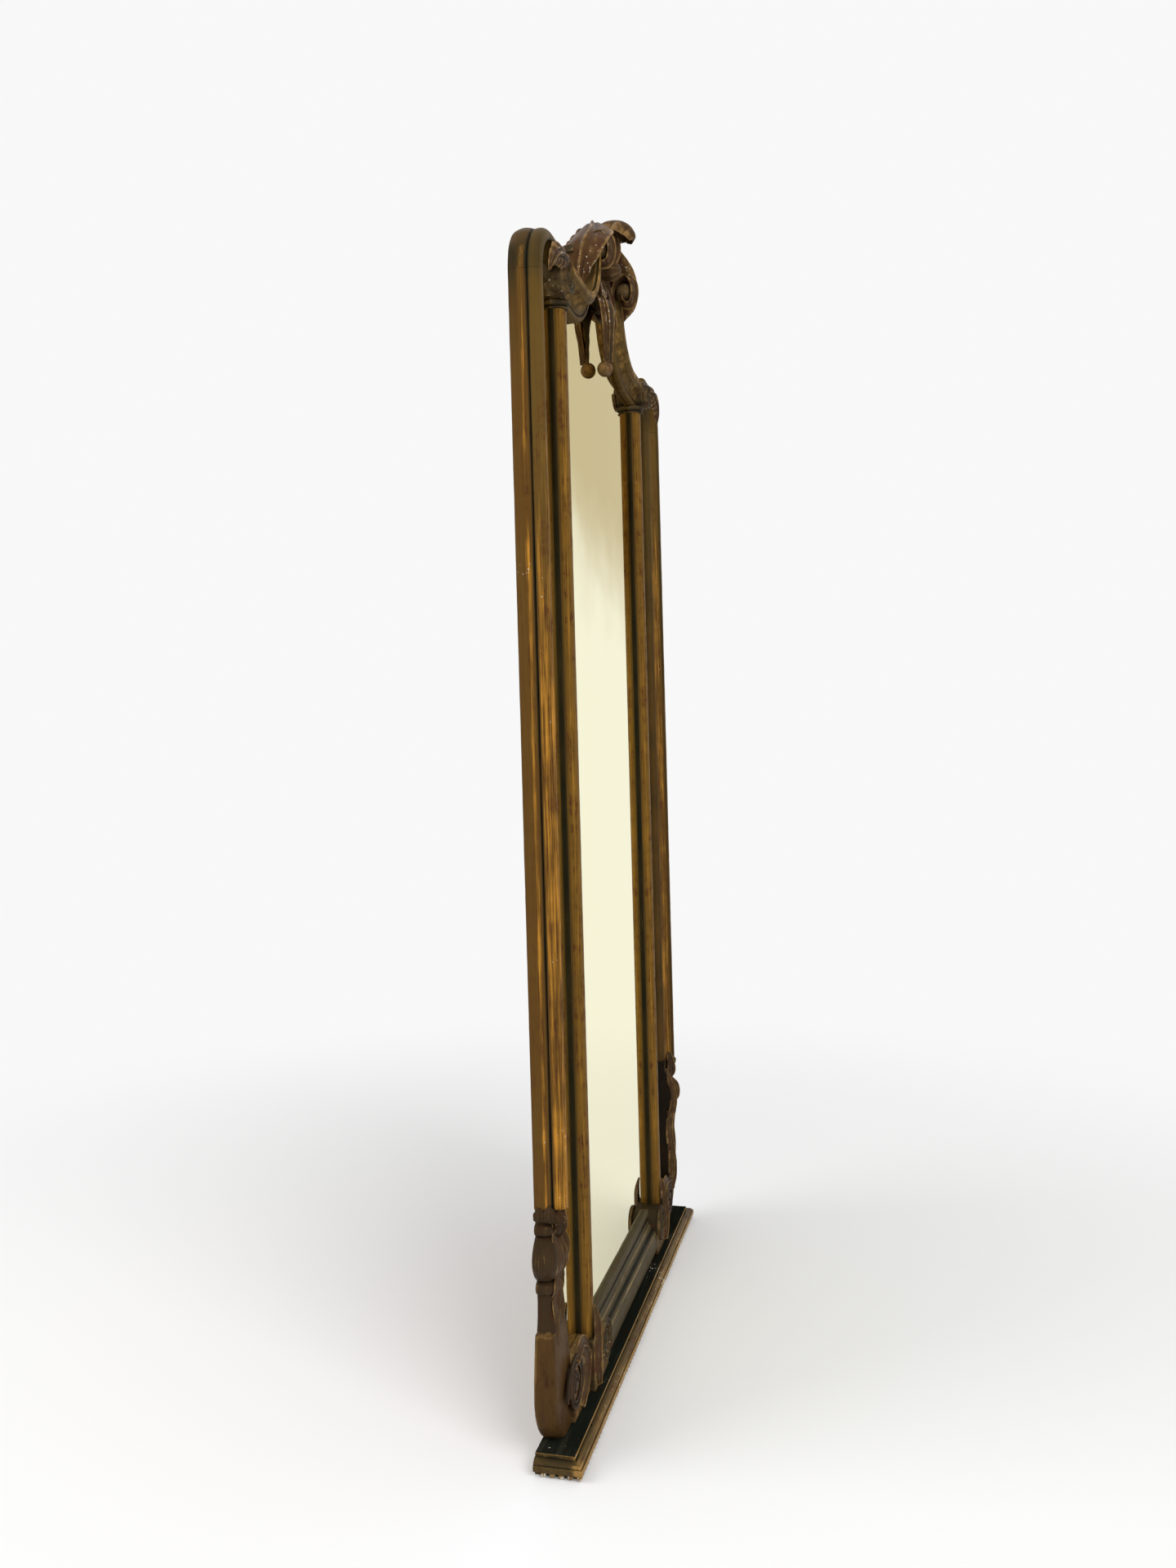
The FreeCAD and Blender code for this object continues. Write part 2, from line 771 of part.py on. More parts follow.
def make_capitals():
    half = size.capital_width / 2
    for name, side in SIDES:
        right = []
        left = []
        axis = inner_axis * side
        last_bow = []
        for out_share, up_share, *bow_share in CAPITAL_SHARES:
            level = capital_base + size.capital_height * up_share
            bow = [half * item for item in bow_share]
            right.append((axis + half * out_share, level, *bow))
            left.append((axis - half * out_share, level, *last_bow))
            last_bow = bow
        body = new_body(f"inner_capital_{name}")
        front = glass_front - size.capital_projection
        front_pad(body, f"Capital_{name}", right + left[::-1], glass_front, front)


# Corner bosses close the joint of shoulder, arch rail and capital, and carry the corner scrolls
def make_corner_bosses():
    for name, side in SIDES:
        centre = (boss_axis * side, glass_front, boss_level)
        diameter = size.corner_boss_radius * 2
        boss = cylinder(f"corner_boss_{name}", centre, diameter, size.corner_boss_projection, ALONG_FRONT)
        boss.Label = f"corner_boss_{name}"
        NODES.append(boss)
        ground = Vector(boss_axis.value * side, boss_front.value, boss_level.value)
        radius = (size.corner_boss_radius - size.corner_scroll_setin).value
        shape = spiral_relief(ground, radius, size.scroll_height.value, side, math.pi)
        feature_node(f"corner_scroll_{name}", shape)


# Arch rail section: shares of its projection in front of the glass and of its width from the axis
ARCH_PROFILE_SHARES = [
    (0, -0.5),
    (0.28, -0.5, 0.05),
    (0.4, -0.28),
    (0.4, -0.24, -0.07),
    (0.94, 0.1),
    (1, 0.18, 0.04),
    (0.97, 0.46),
    (0.9, 0.5, -0.13),
    (0, 0.5),
]


# The arch's curve takes this share of the span from the boss to the crest, the straight run takes the rest
ARCH_CURVE_SHARE = 0.627


def make_arch_rails():
    start = boss_axis - size.corner_boss_radius - size.carving_gap
    curve_run = (start - arch_end) * ARCH_CURVE_SHARE
    chord = (curve_run * curve_run + size.arch_radius * size.arch_radius).root()
    rise = chord * (chord - curve_run) / (size.arch_radius * 2)
    for name, side in SIDES:
        body = new_body(f"arch_rail_{name}")
        section = new_sketch(body, f"ArchSection_{name}", "YZ_Plane", start * side)
        corners = []
        for out_share, across_share, *bow_share in ARCH_PROFILE_SHARES:
            y = glass_front - size.arch_rail_projection * out_share
            corner = [y, arch_axis + size.arch_rail_width * across_share]
            corner += [size.arch_rail_width * bow for bow in bow_share]
            corners.append(tuple(corner))
        chain(section, corners)
        spine = new_sketch(body, f"ArchPath_{name}", "XZ_Plane")
        path = [
            (start * side, arch_axis),
            ((arch_end + curve_run) * side, arch_axis, rise * side),
            (arch_end * side, arch_tip),
        ]
        chain(spine, path, closed=False)
        doc.recompute()
        sweep = body.newObject("PartDesign::AdditivePipe", f"ArchSweep_{name}")
        sweep.Profile = section
        sweep.Spine = spine


# Head board: right half of its outline from the crown of the glass round to the top of the crest.
# The crest's edge is given in shares of the arch's end and of the crest's height above the arch tips.
CREST_EDGE_SHARES = [
    (1.3, -0.06, -0.03),
    (1.08, 0.12, -0.02),
    (0.86, 0.3, -0.02),
    (0.47, 0.57, -0.02),
    (0.16, 0.8, -0.05),
]


def make_head_board():
    body = new_body("head_board")
    lower = glass_top + size.glass_gap
    inner_radius = size.arch_radius - size.arch_rail_width / 2 + size.board_setback
    edge = size.arch_centre - inner_radius
    crest_rise = crest_top - arch_tip
    right = [
        (size.crown_half_width, crown_top + size.glass_gap),
        (crown_foot, lower),
        (shoulder_end, lower),
        (shoulder_end, arch_tip - inner_radius),
        (size.arch_centre, arch_tip - inner_radius, inner_radius * QUARTER_BOW_SHARE),
        (edge, arch_tip),
    ]
    for out_share, up_share, bow_share in CREST_EDGE_SHARES:
        bow = size.crest_height * bow_share
        right.append((edge * out_share, arch_tip + crest_rise * up_share, bow))
    left = []
    for index in range(len(right) - 1, -1, -1):
        x, z, *_ = right[index]
        bow = right[index - 1][2:] if index else ()
        left.append((-x, z, *bow))
    front_pad(body, "HeadOutline", right + left, back, glass_front)


# Crest carving
C_SCROLL_SWEEP_SHARE = 0.64
C_SCROLL_STEPS = 28
C_SCROLL_CURL_SHARE = 0.42
C_SCROLL_TAPER_SHARE = 0.45
C_SCROLL_SCOOP_SHARE = 0.5


def make_c_scrolls():
    """Each scroll is a scooped channel bent to a C that opens upwards and curls in at both ends."""
    for name, side in SIDES:
        centre = Vector(size.c_scroll_centre.value * side, 0, c_scroll_axis.value)
        sections = []
        for step in range(C_SCROLL_STEPS + 1):
            along = 2 * step / C_SCROLL_STEPS - 1
            angle = math.pi * C_SCROLL_SWEEP_SHARE * along - math.pi / 2
            curl = abs(along) ** 3
            radius = size.c_scroll_radius.value * (1 - C_SCROLL_CURL_SHARE * curl)
            depth = size.c_scroll_depth.value * (1 - C_SCROLL_TAPER_SHARE * curl)
            thickness = size.c_scroll_thickness.value * (1 - C_SCROLL_TAPER_SHARE * curl)
            out = Vector(math.cos(angle) * side, 0, math.sin(angle))
            rear = Vector(0, carving_ground.value, 0)
            front = rear - Vector(0, depth, 0)
            spine = centre + out * radius
            outer = out * (thickness / 2)
            middle = (rear + front) / 2
            scoop = spine + middle + outer - out * (thickness * C_SCROLL_SCOOP_SHARE)
            hollow = Part.Arc(spine + rear + outer, scoop, spine + front + outer).toShape()
            lip = Part.LineSegment(spine + front + outer, spine + front - outer).toShape()
            inside = Part.LineSegment(spine + front - outer, spine + rear - outer).toShape()
            foot = Part.LineSegment(spine + rear - outer, spine + rear + outer).toShape()
            sections.append(Part.Wire([hollow, lip, inside, foot]))
        feature_node(f"crest_c_scroll_{name}", carved_loft(sections))


# Cartouche: shares of its projection and of its outline, from the ground to its crown
CARTOUCHE_SHARES = [(0, 0.8), (0.4, 0.86), (0.62, 1), (0.82, 0.84), (0.95, 0.5), (1, 0.14)]


def make_cartouche():
    sections = []
    for out_share, spread_share in refine(CARTOUCHE_SHARES):
        y = carving_ground.value - size.cartouche_projection.value * out_share
        half_width = size.cartouche_width.value / 2 * spread_share
        half_height = size.cartouche_height.value / 2 * spread_share
        centre = Vector(0, y, (c_scroll_axis + size.cartouche_lift).value)
        tall = half_height >= half_width
        long_axis = Vector(0, 0, half_height) if tall else Vector(half_width, 0, 0)
        short_axis = Vector(half_width, 0, 0) if tall else Vector(0, 0, half_height)
        oval = Part.Ellipse(centre + long_axis, centre + short_axis, centre)
        sections.append(Part.Wire([oval.toShape()]))
    feature_node("crest_cartouche", carved_loft(sections))


# Plume: shares of its reach forward, its height, its width and thickness, and its cup over thickness
PLUME_SHARES = [
    (0, 0, 0.5, 0.8, 0.6),
    (0.033, 0.44, 0.74, 0.95, 0.45),
    (0.16, 0.8, 0.92, 1.05, -0.2),
    (0.31, 0.97, 1, 1.1, -0.8),
    (0.53, 1, 0.9, 1.1, -1.05),
    (0.74, 0.91, 0.72, 1, -1.1),
    (0.9, 0.74, 0.5, 0.85, -0.95),
    (1, 0.59, 0.22, 0.6, -0.8),
]


def leaf_along(points, across, width, thickness):
    """A leaf through points (place, width share, thickness share, cup share), square to across."""
    sections = []
    for index, (place, width_share, thickness_share, cup_share) in enumerate(points):
        before = points[max(index - 1, 0)][0]
        after = points[min(index + 1, len(points) - 1)][0]
        normal = across.cross(after - before).normalize()
        thick = thickness * thickness_share
        sections.append(leaf_section(place, across, normal, width * width_share, thick, thick * cup_share))
    return carved_loft(sections)


def make_plume():
    base = (c_scroll_axis + size.plume_base).value
    points = []
    for out_share, up_share, *others in refine(PLUME_SHARES):
        y = carving_ground.value - size.plume_reach.value * out_share
        points.append((Vector(0, y, base + size.plume_height.value * up_share), *others))
    shape = leaf_along(points, Vector(1, 0, 0), size.plume_width.value, size.plume_thickness.value)
    feature_node("crest_plume", shape)


# Side leaves stand on the arch rails' tips and curl forward into a roll
SIDE_LEAF_SHARES = [
    (0.2, 0.07, 0.6, 0.9, 0.2),
    (0.3, 0.56, 0.85, 1, 0.2),
    (0.5, 0.92, 1, 1, 0.15),
    (0.76, 1, 1, 1, 0.15),
    (0.95, 0.67, 1, 1, 0.15),
    (1, 0.2, 0.95, 0.95, 0.15),
    (0.94, -0.22, 0.85, 0.85, 0.15),
    (0.8, -0.36, 0.7, 0.7, 0.15),
]


def make_side_leaves():
    for name, side in SIDES:
        points = []
        for out_share, up_share, *others in refine(SIDE_LEAF_SHARES):
            y = carving_ground.value - size.side_leaf_reach.value * out_share
            z = arch_tip.value + size.carving_gap.value + size.side_leaf_height.value * up_share
            points.append((Vector(arch_end.value * side, y, z), *others))
        width = size.side_leaf_width.value
        shape = leaf_along(points, Vector(1, 0, 0), width, size.side_leaf_thickness.value)
        feature_node(f"crest_side_leaf_{name}", shape)


# Pendant: a leaf that hangs from the C-scrolls in front of the glass and ends in a ball.
# Shares of its length downwards, of its stand off the glass, of width and thickness,
# and of cup over thickness.
PENDANT_SHARES = [
    (0, 0.9, 1, 0.8, 0.6),
    (0.15, 1.1, 0.96, 1, 0.75),
    (0.35, 1.15, 0.8, 1, 0.8),
    (0.55, 1.05, 0.58, 1, 0.8),
    (0.78, 1, 0.36, 0.95, 0.75),
    (1, 1, 0.18, 0.85, 0.75),
]


def make_pendant():
    rim = size.c_scroll_radius + size.c_scroll_thickness / 2
    scoop_floor = rim - size.c_scroll_thickness * C_SCROLL_SCOOP_SHARE
    top = (c_scroll_axis - scoop_floor - size.carving_gap * 2).value
    points = []
    for down_share, out_share, *others in refine(PENDANT_SHARES):
        y = glass_front.value - size.pendant_stand.value * out_share
        points.append((Vector(0, y, top - size.pendant_length.value * down_share), *others))
    shape = leaf_along(points, Vector(-1, 0, 0), size.pendant_width.value, size.pendant_thickness.value)
    feature_node("crest_pendant", shape)
    radius = size.pendant_ball.value / 2
    low = top - size.pendant_length.value - size.carving_gap.value - radius
    ball = Part.makeSphere(radius, Vector(0, glass_front.value - size.pendant_stand.value, low))
    feature_node("pendant_ball", ball)


# Glass plates, back boards and battens
GLASS_CORNER_SHARE = 0.85
SCREW_SHARES = (0.25, 0.75)


def side_outline(side, inner):
    """The outline of a side plate or side board, its upper outer corner cut to clear the shoulder."""
    rebate_radius = size.shoulder_radius - size.stile_width + size.rebate_width
    cut = (rebate_radius - size.glass_gap) * GLASS_CORNER_SHARE
    corners = [
        (inner * side, glass_bottom),
        (glass_edge * side, glass_bottom),
        (glass_edge * side, glass_top - cut),
        ((glass_edge - cut) * side, glass_top),
    ]
    return corners


def make_glass():
    edge = inner_axis - size.tongue_width / 2 - size.glass_gap
    half = [(edge, glass_bottom), (edge, glass_top)]
    half += [(crown_foot, glass_top), (size.crown_half_width, crown_top)]
    corners = half + [(-x, z) for x, z in reversed(half)]
    front_pad(new_body("main_glass"), "MainGlassOutline", corners, board_front, glass_front)
    inner = inner_axis + size.tongue_width / 2 + size.glass_gap
    for name, side in SIDES:
        corners = side_outline(side, inner) + [(inner * side, glass_top)]
        front_pad(new_body(f"side_glass_{name}"), f"SideGlass_{name}", corners, board_front, glass_front)


batten_levels = [glass_bottom + size.batten_inset, glass_top - size.batten_inset]
board_joint = size.crown_half_width
shank_hole = size.screw_diameter + size.screw_clearance * 2


def screw_columns():
    """Places along the battens: two for each back board."""
    places = []
    spans = [
        (-glass_edge, -board_joint),
        (-board_joint, board_joint),
        (board_joint, glass_edge),
    ]
    for low, high in spans:
        places.append([low + (high - low) * share for share in SCREW_SHARES])
    return places


def make_back():
    columns = screw_columns()
    holes = [[(x, z, shank_hole) for x in places for z in batten_levels] for places in columns]
    inner = board_joint + size.board_gap / 2
    for name, side in SIDES:
        corners = side_outline(side, inner) + [(crown_foot * side, glass_top), (inner * side, crown_top)]
        body = new_body(f"back_board_{name}")
        front_pad(body, f"BackBoard_{name}", corners, batten_front, board_front, holes[1 + side])
    half = board_joint - size.board_gap / 2
    corners = rectangle(-half, half, glass_bottom, crown_top)
    body = new_body("back_board_centre")
    front_pad(body, "BackBoard_centre", corners, batten_front, board_front, holes[1])
    for name, level in zip(("lower", "upper"), batten_levels):
        body = new_body(f"batten_{name}")
        low = level - size.batten_width / 2
        high = level + size.batten_width / 2
        corners = rectangle(-glass_edge, glass_edge, low, high)
        row = [(x, level, shank_hole) for places in columns for x in places]
        front_pad(body, f"Batten_{name}", corners, back, batten_front, row)
        doc.recompute()
        whole = body.Shape.Volume
        bores = new_sketch(body, f"BattenBores_{name}", "XZ_Plane", -back)
        for x, z, _ in row:
            circle(bores, x, z, size.screw_head_diameter + size.screw_clearance * 2)
        sink = body.newObject("PartDesign::Pocket", f"BattenSink_{name}")
        sink.Profile = bores
        sink.setExpression("Length", size.screw_head_height.text)
        sink.Reversed = True
        doc.recompute()
        if body.Shape.Volume >= whole:
            raise RuntimeError("the screw heads have no seats")
    screws = [screw(x, back, z) for places in columns for x in places for z in batten_levels]
    feature_node("batten_screws", Part.makeCompound(screws))


def screw(x, face, z):
    """A flat-headed screw driven forward, its head flush with the face."""
    start = Vector(x.value, face.value, z.value)
    forward = Vector(0, -1, 0)
    head_radius = size.screw_head_diameter.value / 2
    head = Part.makeCylinder(head_radius, size.screw_head_height.value, start, forward)
    reach = size.batten_thickness.value + size.board_thickness.value - size.glass_gap.value
    shank = Part.makeCylinder(size.screw_diameter.value / 2, reach, start, forward)
    return head.fuse(shank).removeSplitter()


# Hanging rings: a strap folded round the ring's straight bar, screwed into the pocket's floor
def make_hangers():
    screws = []
    for name, side in SIDES:
        axis = hanger_axis * side
        half = size.strap_width / 2
        barrel_start = (axis - half, ring_pivot_depth, ring_pivot_level)
        plate = box(
            f"strap_plate_{name}",
            (axis - half, pocket_floor, ring_pivot_level - size.strap_length),
            (axis + half, pocket_floor + size.strap_thickness, ring_pivot_level),
            node=False,
        )
        diameter = barrel_radius * 2
        barrel = cylinder(f"strap_barrel_{name}", barrel_start, diameter, size.strap_width, ALONG_X)
        folded = doc.addObject("Part::Fuse", f"strap_fold_{name}")
        folded.Base = plate
        folded.Tool = barrel
        bore_size = size.ring_wire + size.pivot_clearance * 2
        bore = cylinder(f"strap_bore_{name}", barrel_start, bore_size, size.strap_width, ALONG_X)
        strap = doc.addObject("Part::Cut", f"hanger_strap_{name}")
        strap.Label = f"hanger_strap_{name}"
        strap.Base = folded
        strap.Tool = bore
        NODES.append(strap)
        make_ring(name, axis)
        for place in range(2):
            lowest = ring_pivot_level - size.strap_length + size.strap_screw_inset
            level = lowest + size.strap_screw_pitch * place
            seat = Vector(axis.value, (pocket_floor + size.strap_thickness).value, level.value)
            screws.append(round_head(seat))
    feature_node("hanger_screws", Part.makeCompound(screws))


ROUND_HEAD_SHARE = 0.5


def round_head(seat):
    """The low round head of a strap screw, standing on the strap."""
    radius = size.screw_head_diameter.value / 2
    height = size.strap_thickness.value
    head = Part.makeCylinder(radius, height, seat, Vector(0, 1, 0))
    rim = max(head.Edges, key=lambda edge: edge.BoundBox.YMin)
    return head.makeFillet(height * ROUND_HEAD_SHARE, [rim])


def make_ring(name, axis):
    """A D ring of round wire: its bar in the strap's barrel, its bow hanging down."""
    half = size.ring_width / 2
    bow_level = ring_pivot_level - size.ring_leg
    down = FreeCAD.Rotation(Vector(0, 0, 1), Vector(0, 0, -1))
    start = (axis - half, ring_pivot_depth, ring_pivot_level)
    pieces = [cylinder(f"ring_bar_{name}", start, size.ring_wire, size.ring_width, ALONG_X)]
    for sign in (-1, 1):
        corner = (axis + half * sign, ring_pivot_depth, ring_pivot_level)
        pieces.append(cylinder(f"ring_leg_{name}_{sign + 1}", corner, size.ring_wire, size.ring_leg, down))
        knee = doc.addObject("Part::Sphere", f"ring_knee_{name}_{sign + 1}")
        knee.setExpression("Radius", (size.ring_wire / 2).text)
        for letter, place in zip("xyz", corner):
            knee.setExpression(f"Placement.Base.{letter}", place.text)
        pieces.append(knee)
    bow = doc.addObject("Part::Torus", f"ring_bow_{name}")
    bow.setExpression("Radius1", half.text)
    bow.setExpression("Radius2", (size.ring_wire / 2).text)
    bow.Angle3 = 180
    bow.Placement = FreeCAD.Placement(Vector(0, 0, 0), FreeCAD.Rotation(Vector(1, 0, 0), -90))
    for letter, place in zip("xyz", (axis, ring_pivot_depth, bow_level)):
        bow.setExpression(f"Placement.Base.{letter}", place.text)
    pieces.append(bow)
    ring = doc.addObject("Part::MultiFuse", f"hanger_ring_{name}")
    ring.Label = f"hanger_ring_{name}"
    ring.Shapes = pieces
    ring.Refine = True
    NODES.append(ring)


def build():
    make_plinth()
    make_pearls()
    make_outer_stiles()
    make_shoulders()
    make_legs_and_feet()
    make_volutes()
    make_leaf_drops()
    make_corner_blocks()
    make_bottom_rail()
    make_inner_stiles()
    make_inner_feet()
    make_capitals()
    make_corner_bosses()
    make_arch_rails()
    make_head_board()
    make_c_scrolls()
    make_cartouche()
    make_plume()
    make_side_leaves()
    make_pendant()
    make_glass()
    make_back()
    make_hangers()
    doc.recompute()


def check():
    """Stops with a message if any object failed or any node is not a sound solid."""
    for item in doc.Objects:
        if "Invalid" in item.State or "Error" in item.State:
            raise RuntimeError(f"{item.Label} did not build")
    for node in NODES:
        if node.Shape.isNull() or not node.Shape.isValid() or not node.Shape.Solids:
            raise RuntimeError(f"{node.Label} is not a sound solid")


def write_parts():
    os.makedirs("parts", exist_ok=True)
    for node in NODES:
        node.Shape.exportStep(f"parts/{node.Label}.step")


build()
check()
write_parts()
print(len(NODES), "nodes written")
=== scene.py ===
import math
import bmesh
import bpy
import numpy as np
from mathutils import Matrix, Vector, noise


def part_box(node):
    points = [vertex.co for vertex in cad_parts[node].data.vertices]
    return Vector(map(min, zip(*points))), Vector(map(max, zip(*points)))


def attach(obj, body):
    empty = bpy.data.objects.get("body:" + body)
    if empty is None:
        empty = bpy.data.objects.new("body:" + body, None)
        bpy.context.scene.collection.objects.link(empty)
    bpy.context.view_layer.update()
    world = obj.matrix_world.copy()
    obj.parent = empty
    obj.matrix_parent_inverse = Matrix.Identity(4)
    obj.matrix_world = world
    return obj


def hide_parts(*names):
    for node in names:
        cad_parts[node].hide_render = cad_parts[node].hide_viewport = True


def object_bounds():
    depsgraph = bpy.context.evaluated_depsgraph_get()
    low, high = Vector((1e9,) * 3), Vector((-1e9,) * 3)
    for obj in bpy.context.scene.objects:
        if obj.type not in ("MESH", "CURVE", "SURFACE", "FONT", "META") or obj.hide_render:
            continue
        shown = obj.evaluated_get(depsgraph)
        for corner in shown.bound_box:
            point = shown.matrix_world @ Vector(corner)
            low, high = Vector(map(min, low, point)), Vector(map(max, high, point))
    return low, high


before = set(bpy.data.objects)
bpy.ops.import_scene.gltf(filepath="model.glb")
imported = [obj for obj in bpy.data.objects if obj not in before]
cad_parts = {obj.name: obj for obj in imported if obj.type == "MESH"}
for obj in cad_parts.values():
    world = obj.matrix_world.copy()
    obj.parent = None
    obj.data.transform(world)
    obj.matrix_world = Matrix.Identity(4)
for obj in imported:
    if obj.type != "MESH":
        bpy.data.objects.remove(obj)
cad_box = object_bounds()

# Plinth: a moulded softwood board, mitred at both ends, that carries the whole mirror.
# Its top is painted black-green. Fascia, ovolo and arris are gilded and rubbed brown,
# and the moulding is planed along the front and both ends.
PLINTH_LOW, PLINTH_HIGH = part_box("plinth_board")
PEARL_COURSE = 0.008
FASCIA_TOP = 0.016
OVOLO_TOP = 0.022
CORE_INSET = 0.0091
QUIRK = 0.002
PLINTH_PROJECTION = 0.0125
ARRIS_ANGLE = math.radians(38)
SHARP_ANGLE = math.radians(55)
BACK = PLINTH_HIGH.y


def outline(corners, steps=8):
    """Points of an outline; a corner's third value bows the way to the next corner to its left."""
    points = []
    followers = corners[1:] + corners[:1]
    for (x, y, *bow), follower in zip(corners, followers):
        points.append((x, y))
        if not bow:
            continue
        run_x = follower[0] - x
        run_y = follower[1] - y
        length = math.hypot(run_x, run_y)
        for step in range(1, steps):
            part = step / steps
            rise = 4 * bow[0] * part * (1 - part) / length
            points.append((x + run_x * part - run_y * rise, y + run_y * part + run_x * rise))
    return points


def skin(rows, closed=True, caps=True):
    """Points and faces of a skin over rows of points, with its two ends closed."""
    count = len(rows[0])
    points = [tuple(point) for row in rows for point in row]
    faces = []
    for index in range(len(rows) - 1):
        for place in range(count if closed else count - 1):
            near = index * count + place
            far = index * count + (place + 1) % count
            faces.append((near, far, far + count, near + count))
    if caps:
        faces.append(tuple(range(count - 1, -1, -1)))
        faces.append(tuple(range(len(points) - count, len(points))))
    return points, faces


def join(*shapes):
    """Several skins as one list of points and faces."""
    points = []
    faces = []
    for more_points, more_faces in shapes:
        start = len(points)
        points += more_points
        faces += [tuple(index + start for index in face) for face in more_faces]
    return points, faces


def mark_ridges(mesh):
    """Stores how far each point stands proud of its neighbours: above 0 on crests, below 0 in quirks."""
    count = len(mesh.vertices)
    places = np.empty(count * 3)
    mesh.vertices.foreach_get("co", places)
    places = places.reshape(-1, 3)
    normals = np.empty(count * 3)
    mesh.vertices.foreach_get("normal", normals)
    normals = normals.reshape(-1, 3)
    ends = np.empty(len(mesh.edges) * 2, dtype=np.int64)
    mesh.edges.foreach_get("vertices", ends)
    first, second = ends.reshape(-1, 2).T
    degree = np.maximum(np.bincount(ends, minlength=count), 1)
    gaps = np.linalg.norm(places[first] - places[second], axis=1)
    drop = np.zeros(count)
    for start, end in ((first, second), (second, first)):
        rise = ((places[start] - places[end]) * normals[start]).sum(axis=1) / np.maximum(gaps, 1e-6)
        drop += np.bincount(start, weights=rise, minlength=count)
    drop /= degree
    for _ in range(5):
        near = np.bincount(first, weights=drop[second], minlength=count)
        near += np.bincount(second, weights=drop[first], minlength=count)
        drop = (drop + near / degree) / 2
    top = max(np.percentile(np.abs(drop), 92), 1e-6)
    ridge = mesh.attributes.new("ridge", "FLOAT", "POINT")
    ridge.data.foreach_set("value", np.clip(drop / top, -1, 1))


def make_piece(name, shape, arris=0.0, dents=0.00015, tone=None, ridge=None):
    """A piece of the mirror: arrises eased, surface a little uneven from the carver's hand."""
    points, faces = shape
    work = bmesh.new()
    spots = [work.verts.new(point) for point in points]
    for face in faces:
        work.faces.new([spots[index] for index in face])
    bmesh.ops.remove_doubles(work, verts=work.verts[:], dist=0.00003)
    bmesh.ops.dissolve_degenerate(work, edges=work.edges[:], dist=0.00002)
    bmesh.ops.recalc_face_normals(work, faces=work.faces[:])
    if arris:
        sharp = [edge for edge in work.edges if edge.calc_face_angle(0) > ARRIS_ANGLE]
        bmesh.ops.bevel(
            work, geom=sharp, offset=arris, segments=2, profile=0.5, affect="EDGES", clamp_overlap=True
        )
    work.normal_update()
    for spot in work.verts:
        uneven = noise.noise(spot.co * 55) + noise.noise(spot.co * 190) / 2
        spot.co += spot.normal * (dents * uneven)
        for axis in range(3):
            spot.co[axis] = min(max(spot.co[axis], cad_box[0][axis]), cad_box[1][axis])
    mesh = bpy.data.meshes.new(name)
    work.to_mesh(mesh)
    work.free()
    mesh.polygons.foreach_set("use_smooth", [True] * len(mesh.polygons))
    mesh.set_sharp_from_angle(angle=SHARP_ANGLE)
    mark_ridges(mesh)
    if ridge:
        found = mesh.attributes["ridge"].data
        worn = [ridge(spot.co, found[spot.index].value) for spot in mesh.vertices]
        found.foreach_set("value", worn)
    toned = mesh.attributes.new("tone", "FLOAT", "POINT")
    toned.data.foreach_set("value", [tone(spot.co) if tone else 0.5 for spot in mesh.vertices])
    piece = bpy.data.objects.new(name, mesh)
    bpy.context.scene.collection.objects.link(piece)
    return piece


carved_pieces = []


def dress(piece, finish, slot, *nodes):
    """Gives a piece its finish, fixes it to the frame and lets it stand for its construction solid."""
    piece.data.materials.append(finish)
    carved_pieces.append(piece)
    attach(piece, "frame")
    if nodes:
        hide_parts(*nodes)
    return piece


def add(tree, kind, setup=None, **inputs):
    """A shader node whose inputs, by name or number, are linked from sockets or set to values."""
    node = tree.nodes.new("ShaderNode" + kind)
    for name, value in (setup or {}).items():
        setattr(node, name, value)
    for name, value in inputs.items():
        socket = node.inputs[int(name[1:]) if name[1:].isdigit() else name.replace("_", " ")]
        if isinstance(value, bpy.types.NodeSocket):
            tree.links.new(value, socket)
        else:
            socket.default_value = value
    return node


def mix(tree, factor, under, over):
    """One colour over another."""
    node = add(tree, "Mix", {"data_type": "RGBA"}, n0=factor, n6=under, n7=over)
    return node.outputs[2]


def calc(tree, operation, first, second):
    """The outcome of a math operation on two values."""
    return add(tree, "Math", {"operation": operation}, n0=first, n1=second).outputs[0]


def scaled(tree, value, share):
    """A value times a share."""
    return calc(tree, "MULTIPLY", value, share)


def step_up(tree, value, low, high):
    """A soft step from 0 below low to 1 above high."""
    setup = {"interpolation_type": "SMOOTHSTEP"}
    return add(tree, "MapRange", setup, Value=value, From_Min=low, From_Max=high).outputs[0]


def grain(tree, coords, scale, detail=4.0, roughness=0.55):
    """A noise of the given number of spots to the metre."""
    node = add(tree, "TexNoise", None, Vector=coords, Scale=scale, Detail=detail, Roughness=roughness)
    return node.outputs["Fac"]


def new_group(name, inputs, outputs):
    """An empty shader group with its sockets; returns the tree and the inner ends of the sockets."""
    group = bpy.data.node_groups.new(name, "ShaderNodeTree")
    for label, default in inputs.items():
        kind = "NodeSocketColor" if isinstance(default, tuple) else "NodeSocketFloat"
        kind = "NodeSocketVector" if isinstance(default, Vector) else kind
        socket = group.interface.new_socket(label, in_out="INPUT", socket_type=kind)
        socket.default_value = default
    for label in outputs:
        kind = "NodeSocketColor" if label == "Color" else "NodeSocketFloat"
        group.interface.new_socket(label, in_out="OUTPUT", socket_type=kind)
    return group, group.nodes.new("NodeGroupInput").outputs, group.nodes.new("NodeGroupOutput").inputs


